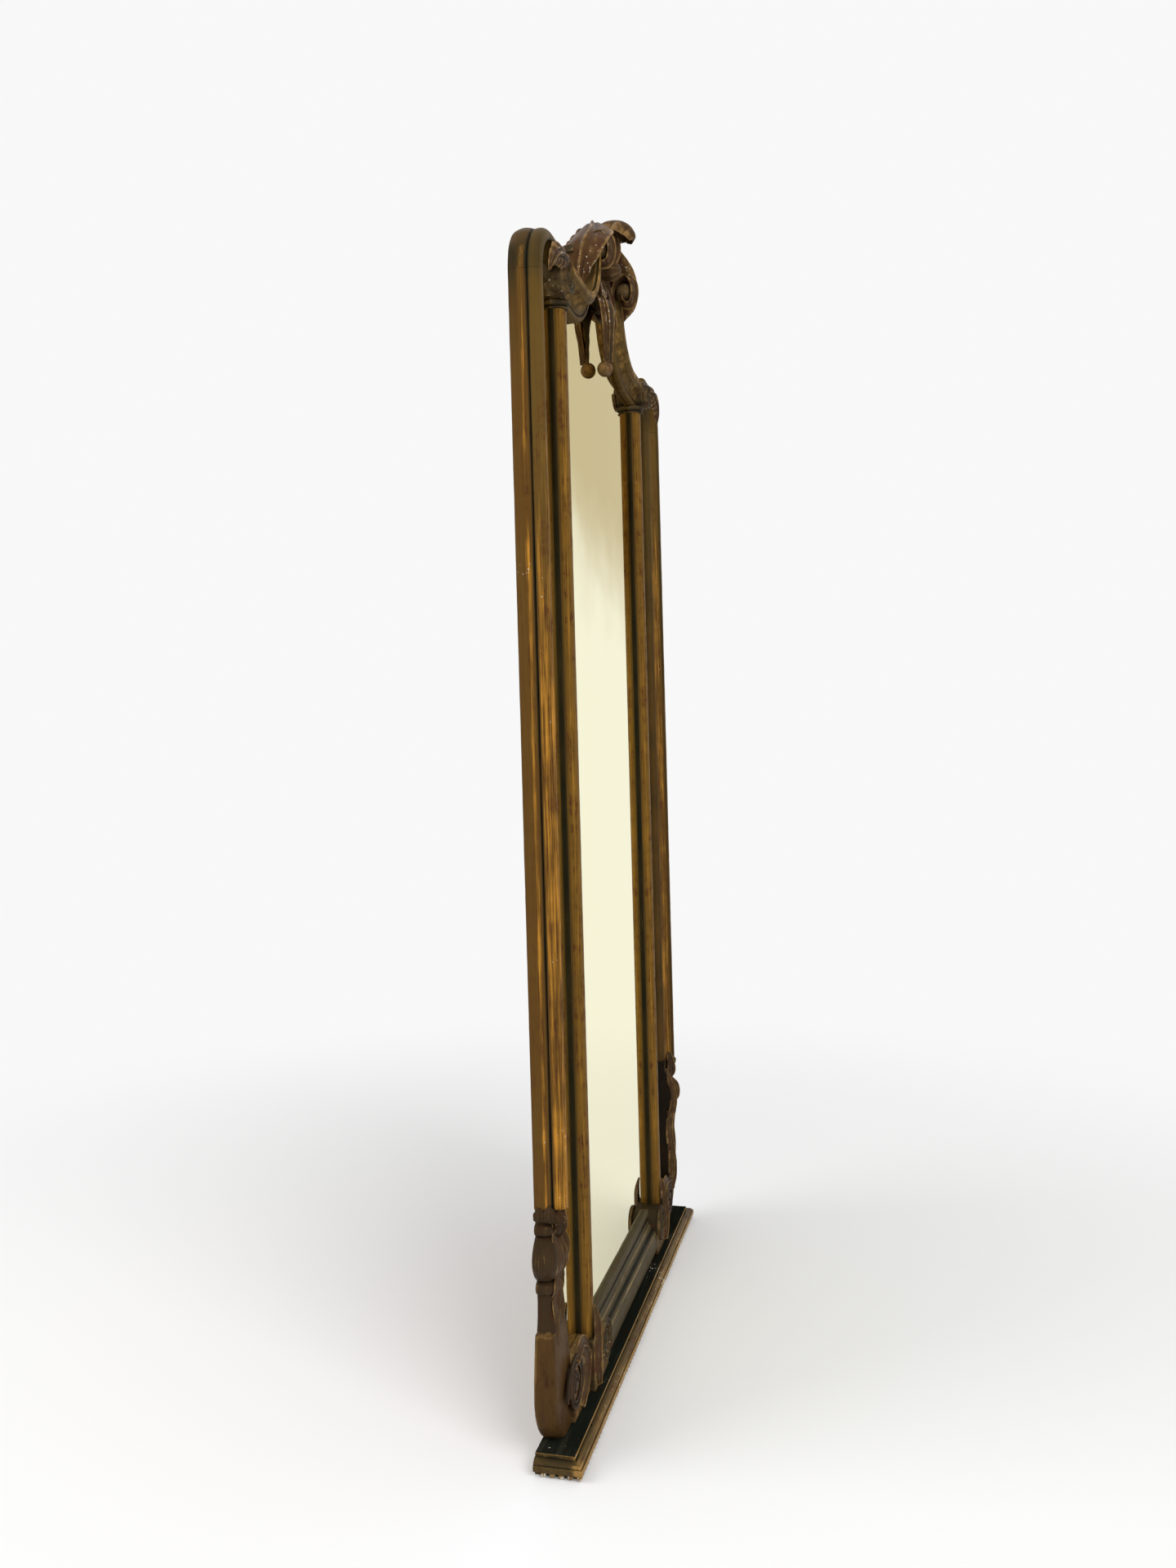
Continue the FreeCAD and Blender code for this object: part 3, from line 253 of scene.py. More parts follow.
def make_gilding_group():
    """Toned gold leaf on red bole: rubbed bright on crests, dark in quirks, chipped to the gesso; ridge
    values that a piece sets also bring painted highlights and painted shade.
    """
    settings = {
        "Toned": (0.1, 0.06, 0.02, 1),
        "Leaf": (0.2, 0.12, 0.03, 1),
        "Crest": (0.5, 0.27, 0.06, 1),
        "Bole": (0.12, 0.03, 0.012, 1),
        "Grime And Shade": (0.012, 0.01, 0.006, 1),
        "Gesso": (0.62, 0.55, 0.43, 1),
        "Stretch": Vector((70, 70, 70)),
        "Rub And Highlight": 0.5,
        "Dirt And Shade": 0.5,
        "Bole Show": 0.5,
        "Loss": 0.3,
        "Shine": 0.5,
    }
    group, given, out = new_group("worn_gilding", settings, ("Color", "Roughness", "Metallic", "Height"))
    coords = add(group, "TexCoord").outputs["Object"]
    ridge = add(group, "Attribute", {"attribute_name": "ridge"}).outputs["Fac"]
    tone = add(group, "Attribute", {"attribute_name": "tone"}).outputs["Fac"]
    lengthways = add(group, "VectorMath", {"operation": "MULTIPLY"}, n0=coords, n1=given["Stretch"])
    streak = calc(group, "SUBTRACT", grain(group, lengthways.outputs[0], 1.0, 5, 0.62), 0.5)
    broad = calc(group, "SUBTRACT", grain(group, coords, 11, 3), 0.5)
    patch = grain(group, coords, 62, 7, 0.62)
    speck = grain(group, coords, 240, 5, 0.6)
    fine = grain(group, coords, 900, 2)
    worn = calc(group, "ADD", scaled(group, streak, 1.5), scaled(group, broad, 0.9))
    ground = mix(group, calc(group, "ADD", tone, worn), given["Toned"], given["Leaf"])
    bared = calc(group, "ADD", patch, scaled(group, given["Bole Show"], 0.4))
    bole_mask = step_up(group, calc(group, "SUBTRACT", bared, streak), 0.7, 0.95)
    bole_mask = calc(group, "MULTIPLY", bole_mask, step_up(group, ridge, -0.6, 0.4))
    with_bole = mix(group, bole_mask, ground, given["Bole"])
    # The crest colour is rubbed gilding, and painted highlight where a piece sets its ridge values for it.
    rub_and_highlight = calc(group, "ADD", scaled(group, ridge, 0.8), worn)
    rub_and_highlight_mask = step_up(group, calc(group, "ADD", rub_and_highlight, given["Rub And Highlight"]), 0.4, 1.15)
    with_rub_and_highlight = mix(group, rub_and_highlight_mask, with_bole, given["Crest"])
    # The grime colour is dirt in the quirks, and painted shade where a piece sets its ridge values for it.
    sunk = calc(group, "SUBTRACT", scaled(group, broad, 0.7), ridge)
    dirt_and_shade_mask = step_up(group, calc(group, "ADD", sunk, given["Dirt And Shade"]), 0.4, 1.3)
    with_dirt_and_shade = mix(group, dirt_and_shade_mask, with_rub_and_highlight, given["Grime And Shade"])
    chips = speck
    for value, share in ((ridge, 0.08), (broad, 0.55), (given["Loss"], 0.3)):
        chips = calc(group, "ADD", chips, scaled(group, value, share))
    loss_mask = step_up(group, chips, 0.79, 0.82)
    group.links.new(mix(group, loss_mask, with_dirt_and_shade, given["Gesso"]), out["Color"])
    matt = scaled(group, dirt_and_shade_mask, 0.2)
    for value, share in ((loss_mask, 0.3), (fine, 0.2), (patch, 0.4)):
        matt = calc(group, "ADD", matt, scaled(group, value, share))
    group.links.new(calc(group, "ADD", matt, 0.12), out["Roughness"])
    metal = calc(group, "SUBTRACT", given["Shine"], scaled(group, bole_mask, 0.3))
    metal = calc(group, "MULTIPLY", metal, calc(group, "SUBTRACT", 1.0, dirt_and_shade_mask))
    group.links.new(calc(group, "MULTIPLY", metal, calc(group, "SUBTRACT", 1.0, loss_mask)), out["Metallic"])
    relief = calc(group, "ADD", scaled(group, patch, 0.5), scaled(group, fine, 0.22))
    relief = calc(group, "ADD", relief, scaled(group, speck, 0.35))
    group.links.new(calc(group, "SUBTRACT", relief, scaled(group, loss_mask, 0.5)), out["Height"])
    return group


GILDING_GROUP = make_gilding_group()


def new_material(name):
    """A new material, with its node tree and its Principled shader."""
    material = bpy.data.materials.new(name)
    material.use_nodes = True
    return material, material.node_tree, material.node_tree.nodes["Principled BSDF"]


def new_finish(name, group, values, bump=0.0006, strength=0.5, sheen=0.07):
    """A material whose Principled shader takes its colour, gloss and relief from a group."""
    finish, tree, shader = new_material(name)
    shader.inputs["Specular IOR Level"].default_value = sheen
    source = add(tree, "Group", {"node_tree": group})
    for label, value in values.items():
        source.inputs[label].default_value = value
    tree.links.new(source.outputs["Color"], shader.inputs["Base Color"])
    for label in ("Roughness", "Metallic"):
        if label in source.outputs:
            tree.links.new(source.outputs[label], shader.inputs[label])
    relief = add(tree, "Bump", None, Strength=strength, Distance=bump, Height=source.outputs["Height"])
    tree.links.new(relief.outputs[0], shader.inputs["Normal"])
    return finish


plinth_gilding = new_finish("plinth_gilding", GILDING_GROUP, {
    "Toned": (0.062, 0.042, 0.015, 1),
    "Leaf": (0.148, 0.086, 0.021, 1),
    "Crest": (0.3, 0.17, 0.05, 1),
    "Bole": (0.07, 0.026, 0.011, 1),
    "Stretch": Vector((12, 260, 420)),
    "Rub And Highlight": 0.3,
    "Dirt And Shade": 0.35,
    "Loss": 0.2,
    "Shine": 0.2,
})
plinth_black = new_finish("plinth_black", GILDING_GROUP, {
    "Toned": (0.0075, 0.0095, 0.0065, 1),
    "Leaf": (0.0115, 0.013, 0.0095, 1),
    "Crest": (0.035, 0.031, 0.021, 1),
    "Bole": (0.014, 0.009, 0.006, 1),
    "Stretch": Vector((9, 120, 120)),
    "Rub And Highlight": -0.3,
    "Dirt And Shade": 0.1,
    "Loss": 0.0,
    "Shine": 0.0,
}, sheen=0.0)

# The section runs from the underside up: how far each point stands in from the fascia, and its level
ovolo_run = PLINTH_PROJECTION - QUIRK
plinth_section = [
    (CORE_INSET, 0),
    (CORE_INSET, PEARL_COURSE),
    (0.0004, PEARL_COURSE),
    (0, PEARL_COURSE + 0.0006),
    (0, FASCIA_TOP - 0.0008),
    (0.0006, FASCIA_TOP),
    (QUIRK, FASCIA_TOP - 0.0006),
]
for turn in np.linspace(0, math.pi / 2, 9):
    stand_in = QUIRK + ovolo_run * (1 - math.cos(turn))
    plinth_section.append((stand_in, FASCIA_TOP + (OVOLO_TOP - FASCIA_TOP) * math.sin(turn)))
plinth_section += [
    (PLINTH_PROJECTION, OVOLO_TOP + 0.0002),
    (PLINTH_PROJECTION - 0.0003, PLINTH_HIGH.z - 0.0006),
    (PLINTH_PROJECTION + 0.0004, PLINTH_HIGH.z),
]


def plinth_row(share_left, share_front, share_right):
    """One section of the plinth's moulding, by its shares of the left end, the front and the right end."""
    row = []
    for stand_in, level in plinth_section:
        x_low = PLINTH_LOW.x + stand_in
        x_high = PLINTH_HIGH.x - stand_in
        y_front = PLINTH_LOW.y + stand_in
        x = x_low + (x_high - x_low) * share_front
        y = BACK + (y_front - BACK) * (share_left - share_right)
        row.append((x, y, level))
    return row


rows = [plinth_row(share, 0, 0) for share in np.linspace(0, 1, 9)]
rows += [plinth_row(1, share, 0) for share in np.linspace(0, 1, 121)[1:]]
rows += [plinth_row(1, 1, share) for share in np.linspace(0, 1, 9)[1:]]
points, faces = skin(rows, closed=False, caps=False)
width = len(plinth_section)
faces.append(tuple(index * width for index in range(len(rows))))
faces.append(tuple(index * width + width - 1 for index in range(len(rows) - 1, -1, -1)))
last_row = (len(rows) - 1) * width
faces.append(tuple(range(width)) + tuple(range(last_row + width - 1, last_row - 1, -1)))


def on_end(place):
    """Whether a point lies on one of the plinth's two short ends."""
    past_corner = place.y > PLINTH_LOW.y + PLINTH_PROJECTION
    return past_corner and abs(place.x) > PLINTH_HIGH.x - PLINTH_PROJECTION


def plinth_tone(place):
    """Gold on the fascia, browner above it and on the ends."""
    if on_end(place):
        return 0.05
    return 0.85 if place.z < FASCIA_TOP else 0.35


def plinth_ridge(place, found):
    """The ends are darker than the front."""
    return found * 0.5 - 0.58 if on_end(place) else found


plinth = make_piece("plinth", (points, faces), 0, 0.0002, plinth_tone, plinth_ridge)
dress(plinth, plinth_gilding, "plinth_wood", "plinth_board")
plinth.data.materials.append(plinth_black)
for face in plinth.data.polygons:
    if face.normal.z > 0.9 and face.center.z > OVOLO_TOP:
        face.material_index = 1

# Pearls: small turned beads pinned under the fascia, along the front and both ends.
# They are gessoed and gilded, and many have lost their leaf at the proud side.
PEARLS_LOW, PEARLS_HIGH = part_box("plinth_pearls")
PEARL_RADIUS = 0.0038
PEARL_PITCH = 0.012
PEARL_LEVEL = (PEARLS_LOW.z + PEARLS_HIGH.z) / 2


def full_turn(count):
    """The angles of a full turn in equal steps."""
    return np.linspace(0, 2 * math.pi, count, endpoint=False)


def ball(centre, radius, squash=1.0, rings=10, sides=16):
    """A turned ball with its axis upright, as a skin."""
    rows = []
    for turn in np.linspace(0, math.pi, rings + 1):
        ring = max(math.sin(turn), 0.02) * radius
        level = centre[2] + math.cos(turn) * radius * squash
        row = []
        for angle in full_turn(sides):
            row.append((centre[0] + ring * math.cos(angle), centre[1] + ring * math.sin(angle), level))
        rows.append(row)
    return skin(rows)


pearl_end = PEARLS_HIGH.x - PEARL_RADIUS
pearl_front = PEARLS_LOW.y + PEARL_RADIUS
pearl_count = int(2 * pearl_end / PEARL_PITCH)
places = [(x, pearl_front) for x in np.linspace(-pearl_end, pearl_end, pearl_count + 1)]
for index in range(1, int((BACK - PEARL_RADIUS - pearl_front) / PEARL_PITCH) + 1):
    places += [(side * pearl_end, pearl_front + index * PEARL_PITCH) for side in (-1, 1)]
beads = []
for x, y in places:
    shrink = 1 - 0.07 * abs(noise.noise((x * 80, y * 80, 0)))
    beads.append(ball((x, y, PEARL_LEVEL), PEARL_RADIUS * shrink, 0.97))
pearl_gilding = new_finish("pearl_gilding", GILDING_GROUP, {
    "Toned": (0.06, 0.038, 0.016, 1),
    "Leaf": (0.12, 0.073, 0.026, 1),
    "Crest": (0.26, 0.16, 0.06, 1),
    "Rub And Highlight": 0.25,
    "Loss": 0.75,
    "Shine": 0.35,
})
dress(make_piece("pearls", join(*beads), dents=0.0002), pearl_gilding, "worn_gilding", "plinth_pearls")

# Outer stiles and shoulders: one moulding with two rolls on its outer side and a hollow to the glass.
# It is planed in pine, gessoed and gilded; the shoulders are sawn from thick stock and carved to match.
SIDES = (("left", -1), ("right", 1))
STILE_LOW, STILE_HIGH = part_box("outer_stile_right")
SHOULDER_LOW, SHOULDER_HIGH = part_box("shoulder_right")
HALF_FRAME = 0.416
STILE_WIDTH = 0.054
STILE_DEPTH = 0.044
REBATE = 0.01
GLASS_FRONT = 0.015
SHOULDER_RADIUS = 0.078
SHOULDER_LAP = 0.012
SHOULDER_CENTRE = HALF_FRAME - SHOULDER_RADIUS
# Shares of the width from the outer face and of the depth from the back, then the bow to the next corner
STILE_SECTION = [
    (0.055, 0, 0.055),
    (0.055, 0.555),
    (0.13, 0.577),
    (0.055, 0.6, 0.1),
    (0.26, 1),
    (0.333, 0.977, -0.09),
    (0.74, 0.636, 0.055),
    (0.926, 0.614),
    (1, 0.545),
]
stile_corners = []
for across, depth, *bow in STILE_SECTION:
    stile_corners.append((STILE_WIDTH * across, STILE_DEPTH * depth, *[STILE_WIDTH * rise for rise in bow]))
glass_depth = BACK - GLASS_FRONT
stile_corners += [
    (STILE_WIDTH, glass_depth),
    (STILE_WIDTH - REBATE, glass_depth),
    (STILE_WIDTH - REBATE, 0),
]
stile_section = outline(stile_corners, 10)


def stile_inset(place):
    """How far a point lies in from the outer face, as a share of the moulding's width."""
    x = abs(place.x)
    if place.z < STILE_HIGH.z:
        inset = HALF_FRAME - x
    elif x > SHOULDER_CENTRE:
        inset = SHOULDER_RADIUS - math.hypot(x - SHOULDER_CENTRE, place.z - STILE_HIGH.z)
    else:
        inset = SHOULDER_HIGH.z - place.z
    return inset / STILE_WIDTH


def stile_tone(place):
    """Brown on the rear roll; olive gold on the front one and in the hollow, browner low down."""
    depth = (BACK - place.y) / STILE_DEPTH
    if depth < 0.57 and stile_inset(place) < 0.5:
        return 0.15
    return 0.2 + 0.55 * min(1, max(0, (place.z - 0.95) / 0.4))


def stile_ridge(place, found):
    """A painted highlight along the forward part of the rear roll, fading out towards the shoulder; painted
    shade and some dirt in the quirks and by the glass; darker over the shoulder.
    """
    depth = (BACK - place.y) / STILE_DEPTH
    inset = stile_inset(place)
    fade = min(1, max(0, (STILE_HIGH.z + 0.02 - place.z) / 0.25))
    glow = min(1, max(0, (STILE_HIGH.z + 0.04 - place.z) / 0.16))
    warm = 0.5 * (1 - min(1, max(0, (place.z - 1.05) / 0.4)))
    shade = 0.74 * (1 - fade)
    if inset < 0.14:
        # Painted shade and dirt in the quirk between the rolls.
        if 0.54 < depth < 0.62:
            return -1
        if depth <= 0.54:
            # Painted highlight: a bright streak along the rear roll, fading out towards the shoulder.
            band = (0.74 - abs(depth - 0.41) * 8) * glow
            return band if band > 0.03 else max(-0.12, band) - shade
        return 0.1 + warm - abs(depth - 0.76) * 0.6 - shade
    if inset < 0.3:
        return 0.1 + warm - shade
    if inset < 0.36:
        return -0.8
    return 0.42 - shade if inset < 0.74 else -0.75


stile_gilding = new_finish("stile_gilding", GILDING_GROUP, {
    "Toned": (0.1, 0.047, 0.0095, 1),
    "Leaf": (0.112, 0.066, 0.0145, 1),
    # The crest colour serves rubbed crests and the painted highlight on the rear roll.
    "Crest": (0.56, 0.25, 0.03, 1),
    "Bole": (0.07, 0.026, 0.008, 1),
    "Grime And Shade": (0.011, 0.0115, 0.0065, 1),
    "Stretch": Vector((420, 420, 11)),
    "Rub And Highlight": 0.18,
    "Dirt And Shade": 0.06,
    "Bole Show": 0.5,
    "Loss": 0.06,
    "Shine": 0.18,
}, sheen=0.06)
for name, side in SIDES:
    rows = []
    for level in np.linspace(STILE_LOW.z, STILE_HIGH.z, 130):
        rows.append([(side * (HALF_FRAME - inset), BACK - depth, level) for inset, depth in stile_section])
    stile = make_piece(f"outer_stile_piece_{name}", skin(rows), 0.0005, 0.00022, stile_tone, stile_ridge)
    dress(stile, stile_gilding, "worn_gilding", f"outer_stile_{name}")
    rows = []
    for turn in np.linspace(0, math.pi / 2, 33):
        row = []
        for inset, depth in stile_section:
            reach = SHOULDER_RADIUS - inset
            x = SHOULDER_CENTRE + reach * math.cos(turn)
            row.append((side * x, BACK - depth, STILE_HIGH.z + reach * math.sin(turn)))
        rows.append(row)
    for x in np.linspace(SHOULDER_CENTRE, SHOULDER_LOW.x - SHOULDER_LAP, 6)[1:]:
        rows.append([(side * x, BACK - depth, SHOULDER_HIGH.z - inset) for inset, depth in stile_section])
    shoulder = make_piece(f"shoulder_piece_{name}", skin(rows), 0.0005, 0.00022, stile_tone, stile_ridge)
    dress(shoulder, stile_gilding, "worn_gilding", f"shoulder_{name}")

# Legs and feet: blocks of limewood under the outer stiles, carved to rings, a bulge and a rounded foot.
# Gilded once, they are rubbed to brown wood on their outer sides; leaf tongues lap over the stiles.
LEG_LOW, LEG_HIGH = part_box("leg_right")
FOOT_LOW, FOOT_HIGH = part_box("foot_right")
LEG_FRONT = LEG_LOW.y
LEG_SETBACK = {"left": 0.0112, "right": 0.0015}
LEG_RELIEF = {"left": 0.58, "right": 1.25}
LEG_SWELL_SHARE = 0.55
FOOT_SETBACK = {"left": 0.0055, "right": 0.003}
FOOT_SWELL_SHARE = 0.05
FOOT_STEP = 0.001
SWELL = 0.024
WAIST_DEPTH = 0.004
FLUTE_DEPTH = 0.0009
FLUTE_SPAN = (0.41, 0.78)
SIGHT = HALF_FRAME - STILE_WIDTH
REBATE_WALL = SIGHT + REBATE
# Shares of the height, how far the edge stands out over the swell, and the bow to the next corner
FOOT_EDGE = [(0, -0.6, -0.42), (0.45, 1, -0.08), (1, 0.45)]
LEG_EDGE = [
    (0, 0.15, 0.12),
    (0.3, -0.1),
    (0.32, 0.1, -0.08),
    (0.39, 0.1),
    (0.41, -0.1, -0.85),
    (0.78, -0.12),
    (0.79, 0.1, -0.08),
    (0.86, 0.1),
    (0.88, -0.15, 0.1),
    (1, 0),
]


def arc_points(centre, radius, start, end, steps):
    """Points of a rounded corner, from one angle to another."""
    turns = np.linspace(start, end, steps)
    return [(centre[0] + radius * math.cos(turn), centre[1] + radius * math.sin(turn)) for turn in turns]


def block_row(side, level, outer, front, flutes):
    """A section of leg or foot: flat to the wall and the glass, rounded at the two outer corners."""
    rear_round = 0.005
    front_round = 0.012
    ring = [(REBATE_WALL, BACK)]
    ring += arc_points((outer - rear_round, BACK - rear_round), rear_round, math.pi / 2, 0, 5)
    run = BACK - rear_round - front - front_round
    for step in range(1, 20):
        part = step / 20
        dip = flutes * abs(math.sin(4 * math.pi * part)) ** 0.7
        ring.append((outer + dip, BACK - rear_round - run * part))
    ring += arc_points((outer - front_round, front + front_round), front_round, 0, -math.pi / 2, 7)
    run = outer - front_round - SIGHT
    for step in range(1, 10):
        part = step / 10
        dip = flutes * abs(math.sin(2 * math.pi * part)) ** 0.7
        ring.append((outer - front_round - run * part, front - dip))
    ring += [(SIGHT, front), (SIGHT, GLASS_FRONT), (REBATE_WALL, GLASS_FRONT)]
    return [(side * x, y, level) for x, y in ring]


foot_values = {
    "Toned": (0.046, 0.024, 0.0085, 1),
    "Leaf": (0.084, 0.042, 0.0125, 1),
    "Crest": (0.19, 0.11, 0.038, 1),
    "Bole": (0.04, 0.017, 0.0075, 1),
    "Grime And Shade": (0.009, 0.0065, 0.0045, 1),
    "Stretch": Vector((70, 70, 16)),
    "Rub And Highlight": -0.05,
    "Dirt And Shade": 0.14,
    "Bole Show": 0.5,
    "Loss": 0.0,
    "Shine": 0.05,
}
foot_finish = new_finish("rubbed_foot", GILDING_GROUP, foot_values, sheen=0.04)
leg_values = {**foot_values, "Toned": (0.026, 0.0155, 0.0075, 1), "Leaf": (0.05, 0.029, 0.013, 1)}
leg_finish = new_finish("rubbed_leg", GILDING_GROUP, leg_values, sheen=0.05)


def leg_ridge(place, found):
    """Painted shade on the side next to the glass and behind the carving on the front."""
    if abs(place.x) < SIGHT + 0.003:
        return -1
    set_back = LEG_SETBACK["right" if place.x > 0 else "left"]
    ground = LEG_FRONT + (set_back if place.z > FOOT_HIGH.z else 0)
    return found - 0.5 if place.y < ground + 0.004 else found


def edge_line(edge_shares, height):
    """Heights along a leg or foot, and how far its edge stands out at each."""
    corners = [(SWELL * out, height * up, *[SWELL * rise for rise in bow]) for up, out, *bow in edge_shares]
    edge = outline(corners, 12)
    return [point[1] for point in edge], [point[0] for point in edge]


def make_block(name, side, low, high, edge_shares, front_share, flute_span, setback, top_setback):
    """A leg or a foot, raised on the outline of its outer edge; its front draws back to its top."""
    height = high.z - low.z
    ups, outs = edge_line(edge_shares, height)
    levels = sorted(set(np.linspace(0, height, 90)) | set(ups))
    rows = []
    for up in levels:
        out = float(np.interp(up, ups, outs))
        fade = 0.0
        if flute_span:
            middle = (flute_span[0] + flute_span[1]) / 2
            half = (flute_span[1] - flute_span[0]) / 2
            fade = max(0.0, 1 - ((up / height - middle) / half) ** 2)
        drawn = min(1, max(0, 2 * up / height - 1)) ** 1.5
        front = LEG_FRONT + setback + (top_setback - setback) * drawn - max(out, -WAIST_DEPTH) * front_share
        rows.append(block_row(side, low.z + up, HALF_FRAME + out, front, FLUTE_DEPTH * fade))
    return make_piece(name, skin(rows), 0.0, 0.0003, None, leg_ridge)


def smooth_rows(rows, steps):
    """Rows of numbers with further rows between them, on smooth curves through the given ones."""
    rows = np.array(rows, dtype=float)
    last = len(rows) - 1
    fine = []
    for index in range(last):
        before = rows[max(index - 1, 0)]
        start = rows[index]
        end = rows[index + 1]
        after = rows[min(index + 2, last)]
        for part in np.linspace(0, 1, steps, endpoint=False):
            bend = 2 * before - 5 * start + 4 * end - after
            twist = 3 * (start - end) + after - before
            fine.append(start + part * (end - before + part * (bend + part * twist)) / 2)
    fine.append(rows[last])
    return np.array(fine)


FACE_SHARES = np.linspace(-1, 1, 27)
REAR_SHARES = np.linspace(1, -1, 11)[1:-1]


def carve_leaf(rows, across, lobes, lobe_depth=0.24, flute=0.3, rib=0.16, steps=10, flat_rear=False):
    """A carved leaf along rows (x, y, z, width, thickness, cup), with lobed edge, flutes and midrib."""
    fine = smooth_rows(rows, steps)
    along = np.gradient(fine[:, :3], axis=0)
    along /= np.linalg.norm(along, axis=1)[:, None]
    across = np.array(across, dtype=float)
    sections = []
    for index, row in enumerate(fine):
        part = index / (len(fine) - 1)
        square = across - along[index] * across.dot(along[index])
        square /= np.linalg.norm(square)
        normal = np.cross(square, along[index])
        phase = math.sin(math.pi * ((part * lobes) % 1)) ** 0.8
        ends = min(1, 5 * (1 - part))
        half = row[3] / 2 * (1 - lobe_depth * (1 - phase) * ends)
        thick = row[4]
        ring = []
        for share in FACE_SHARES:
            swell = (row[5] + thick / 2) * (1 - share ** 2)
            swell += flute * thick * (phase - 0.6) * abs(share) ** 1.3 * (1 - abs(share) ** 6)
            midrib = math.exp(-(share / 0.12) ** 2)
            veins = math.exp(-((abs(share) - 0.26) / 0.1) ** 2)
            swell += rib * thick * (midrib - 0.8 * veins)
            lag = along[index] * (-0.22 * half * share ** 2)
            ring.append(row[:3] + square * (share * half) + normal * swell + lag)
        for share in REAR_SHARES:
            swell = 0.0 if flat_rear else (row[5] - thick / 2) * (1 - share ** 2)
            lag = along[index] * (-0.22 * half * share ** 2)
            ring.append(row[:3] + square * (share * half) + normal * swell + lag)
        sections.append(ring)
    return skin(sections)


TONGUE_STAND = 0.0004
TONGUE_START = LEG_HIGH.z - 0.016
# Tongues on the side of each leg: depth from the back, rise and width
LEG_TONGUES = [(0.008, 0.0145, 0.02), (0.022, 0.0165, 0.024), (0.036, 0.0135, 0.018)]
# Rows of a tongue: share of its rise, stand outwards, share of its width, thickness and cup
TONGUE_ROWS = [
    (0, 0, 0.6, 0.003, 0.001),
    (0.5, 0.0015, 1, 0.0045, 0.002),
    (1, 0, 0.7, 0.003, 0.001),
    (1.3, -0.001, 0.08, 0.001, 0),
]
FRONT_TONGUE_INSET = 0.02
FRONT_TONGUE_DROP = 0.01
FRONT_TONGUE_SETBACK_SHARE = 0.6
# The front tongue: height over the leg, stand before the leg's front, width and thickness
FRONT_TONGUE = [
    (-0.03, -0.006, 0.014, 0.008),
    (-0.016, 0.0, 0.03, 0.013),
    (-0.002, 0.001, 0.034, 0.012),
    (0.014, -0.001, 0.026, 0.009),
    (0.028, -0.003, 0.004, 0.003),
]
for name, side in SIDES:
    leg_setback = LEG_SETBACK[name]
    foot_setbacks = (FOOT_SETBACK[name], leg_setback - FOOT_STEP)
    foot_shape = (FOOT_LOW, FOOT_HIGH, FOOT_EDGE, FOOT_SWELL_SHARE, None)
    foot = make_block(f"foot_piece_{name}", side, *foot_shape, *foot_setbacks)
    dress(foot, foot_finish, "carved_wood", f"foot_{name}")
    leg_shape = (LEG_LOW, LEG_HIGH, LEG_EDGE, LEG_SWELL_SHARE, FLUTE_SPAN)
    leg = make_block(f"leg_piece_{name}", side, *leg_shape, leg_setback, leg_setback)
    dress(leg, leg_finish, "carved_wood", f"leg_{name}")
    tongues = []
    for depth, rise, width in LEG_TONGUES:
        leaf_rows = []
        for up, out, spread, thick, cup in TONGUE_ROWS:
            x = side * (HALF_FRAME + TONGUE_STAND) + side * out
            place = (x, BACK - depth, TONGUE_START + rise * up)
            leaf_rows.append((*place, width * spread, thick, cup))
        tongues.append(carve_leaf(leaf_rows, (0, side, 0), 3, 0.2))
    dress(make_piece(f"leg_tongues_{name}", join(*tongues)), leg_finish, "carved_wood")
    leaf_rows = []
    for up, forward, width, thick in FRONT_TONGUE:
        y = LEG_FRONT - forward + leg_setback * FRONT_TONGUE_SETBACK_SHARE
        place = (side * (HALF_FRAME - FRONT_TONGUE_INSET), y, LEG_HIGH.z + up - FRONT_TONGUE_DROP)
        leaf_rows.append((*place, width, thick, thick * 0.2))
    tongue = make_piece(f"front_tongue_{name}", carve_leaf(leaf_rows, (1, 0, 0), 3, 0.2, 0.4, 0.3))
    dress(tongue, leg_finish, "carved_wood")

# Leaf drops: strips of limewood leaf glued to the outer front edge of each leg.
# Every lobe was cut with a gouge; the proud lobes are rubbed to gold and wood.
LEAF_BASE = FOOT_LOW.z
LEG_SPAN = LEG_HIGH.z - FOOT_LOW.z
LEAF_WIDTH = 0.036
LEAF_HEIGHT = 0.0075
LEAF_SINK = 0.0006
STRAND_WIDTH = 0.016
STRAND_TIP = 0.003
STRAND_THICKNESS = 0.0075
STRAND_CUP = 0.0045
leg_ups, leg_outs = edge_line(LEG_EDGE, LEG_HIGH.z - LEG_LOW.z)


def leaf_ground(name, level):
    """Where the leg's front lies at a level, so that the carving follows its rings and bulge."""
    out = float(np.interp(level - LEG_LOW.z, leg_ups, leg_outs))
    return LEG_FRONT + LEG_SETBACK[name] - max(out, -WAIST_DEPTH) * LEG_SWELL_SHARE + LEAF_SINK


# Shares of the leg's height, of the stile's width inwards, of the leaf's width and of its relief
LEAF_DROP = [
    (0.385, 0.24, 0.12, 0.3),
    (0.42, 0.24, 0.4, 0.6),
    (0.5, 0.3, 0.5, 0.8),
    (0.57, 0.33, 0.62, 0.62),
    (0.62, 0.33, 0.74, 0.55),
    (0.66, 0.3, 0.84, 0.95),
    (0.71, 0.3, 0.8, 0.6),
    (0.76, 0.22, 0.95, 1),
    (0.82, 0.22, 1, 0.95),
    (0.87, 0.3, 0.75, 0.6),
    (0.92, 0.3, 0.8, 0.95),
    (0.96, 0.33, 0.6, 0.8),
    (0.985, 0.33, 0.3, 0.35),
]
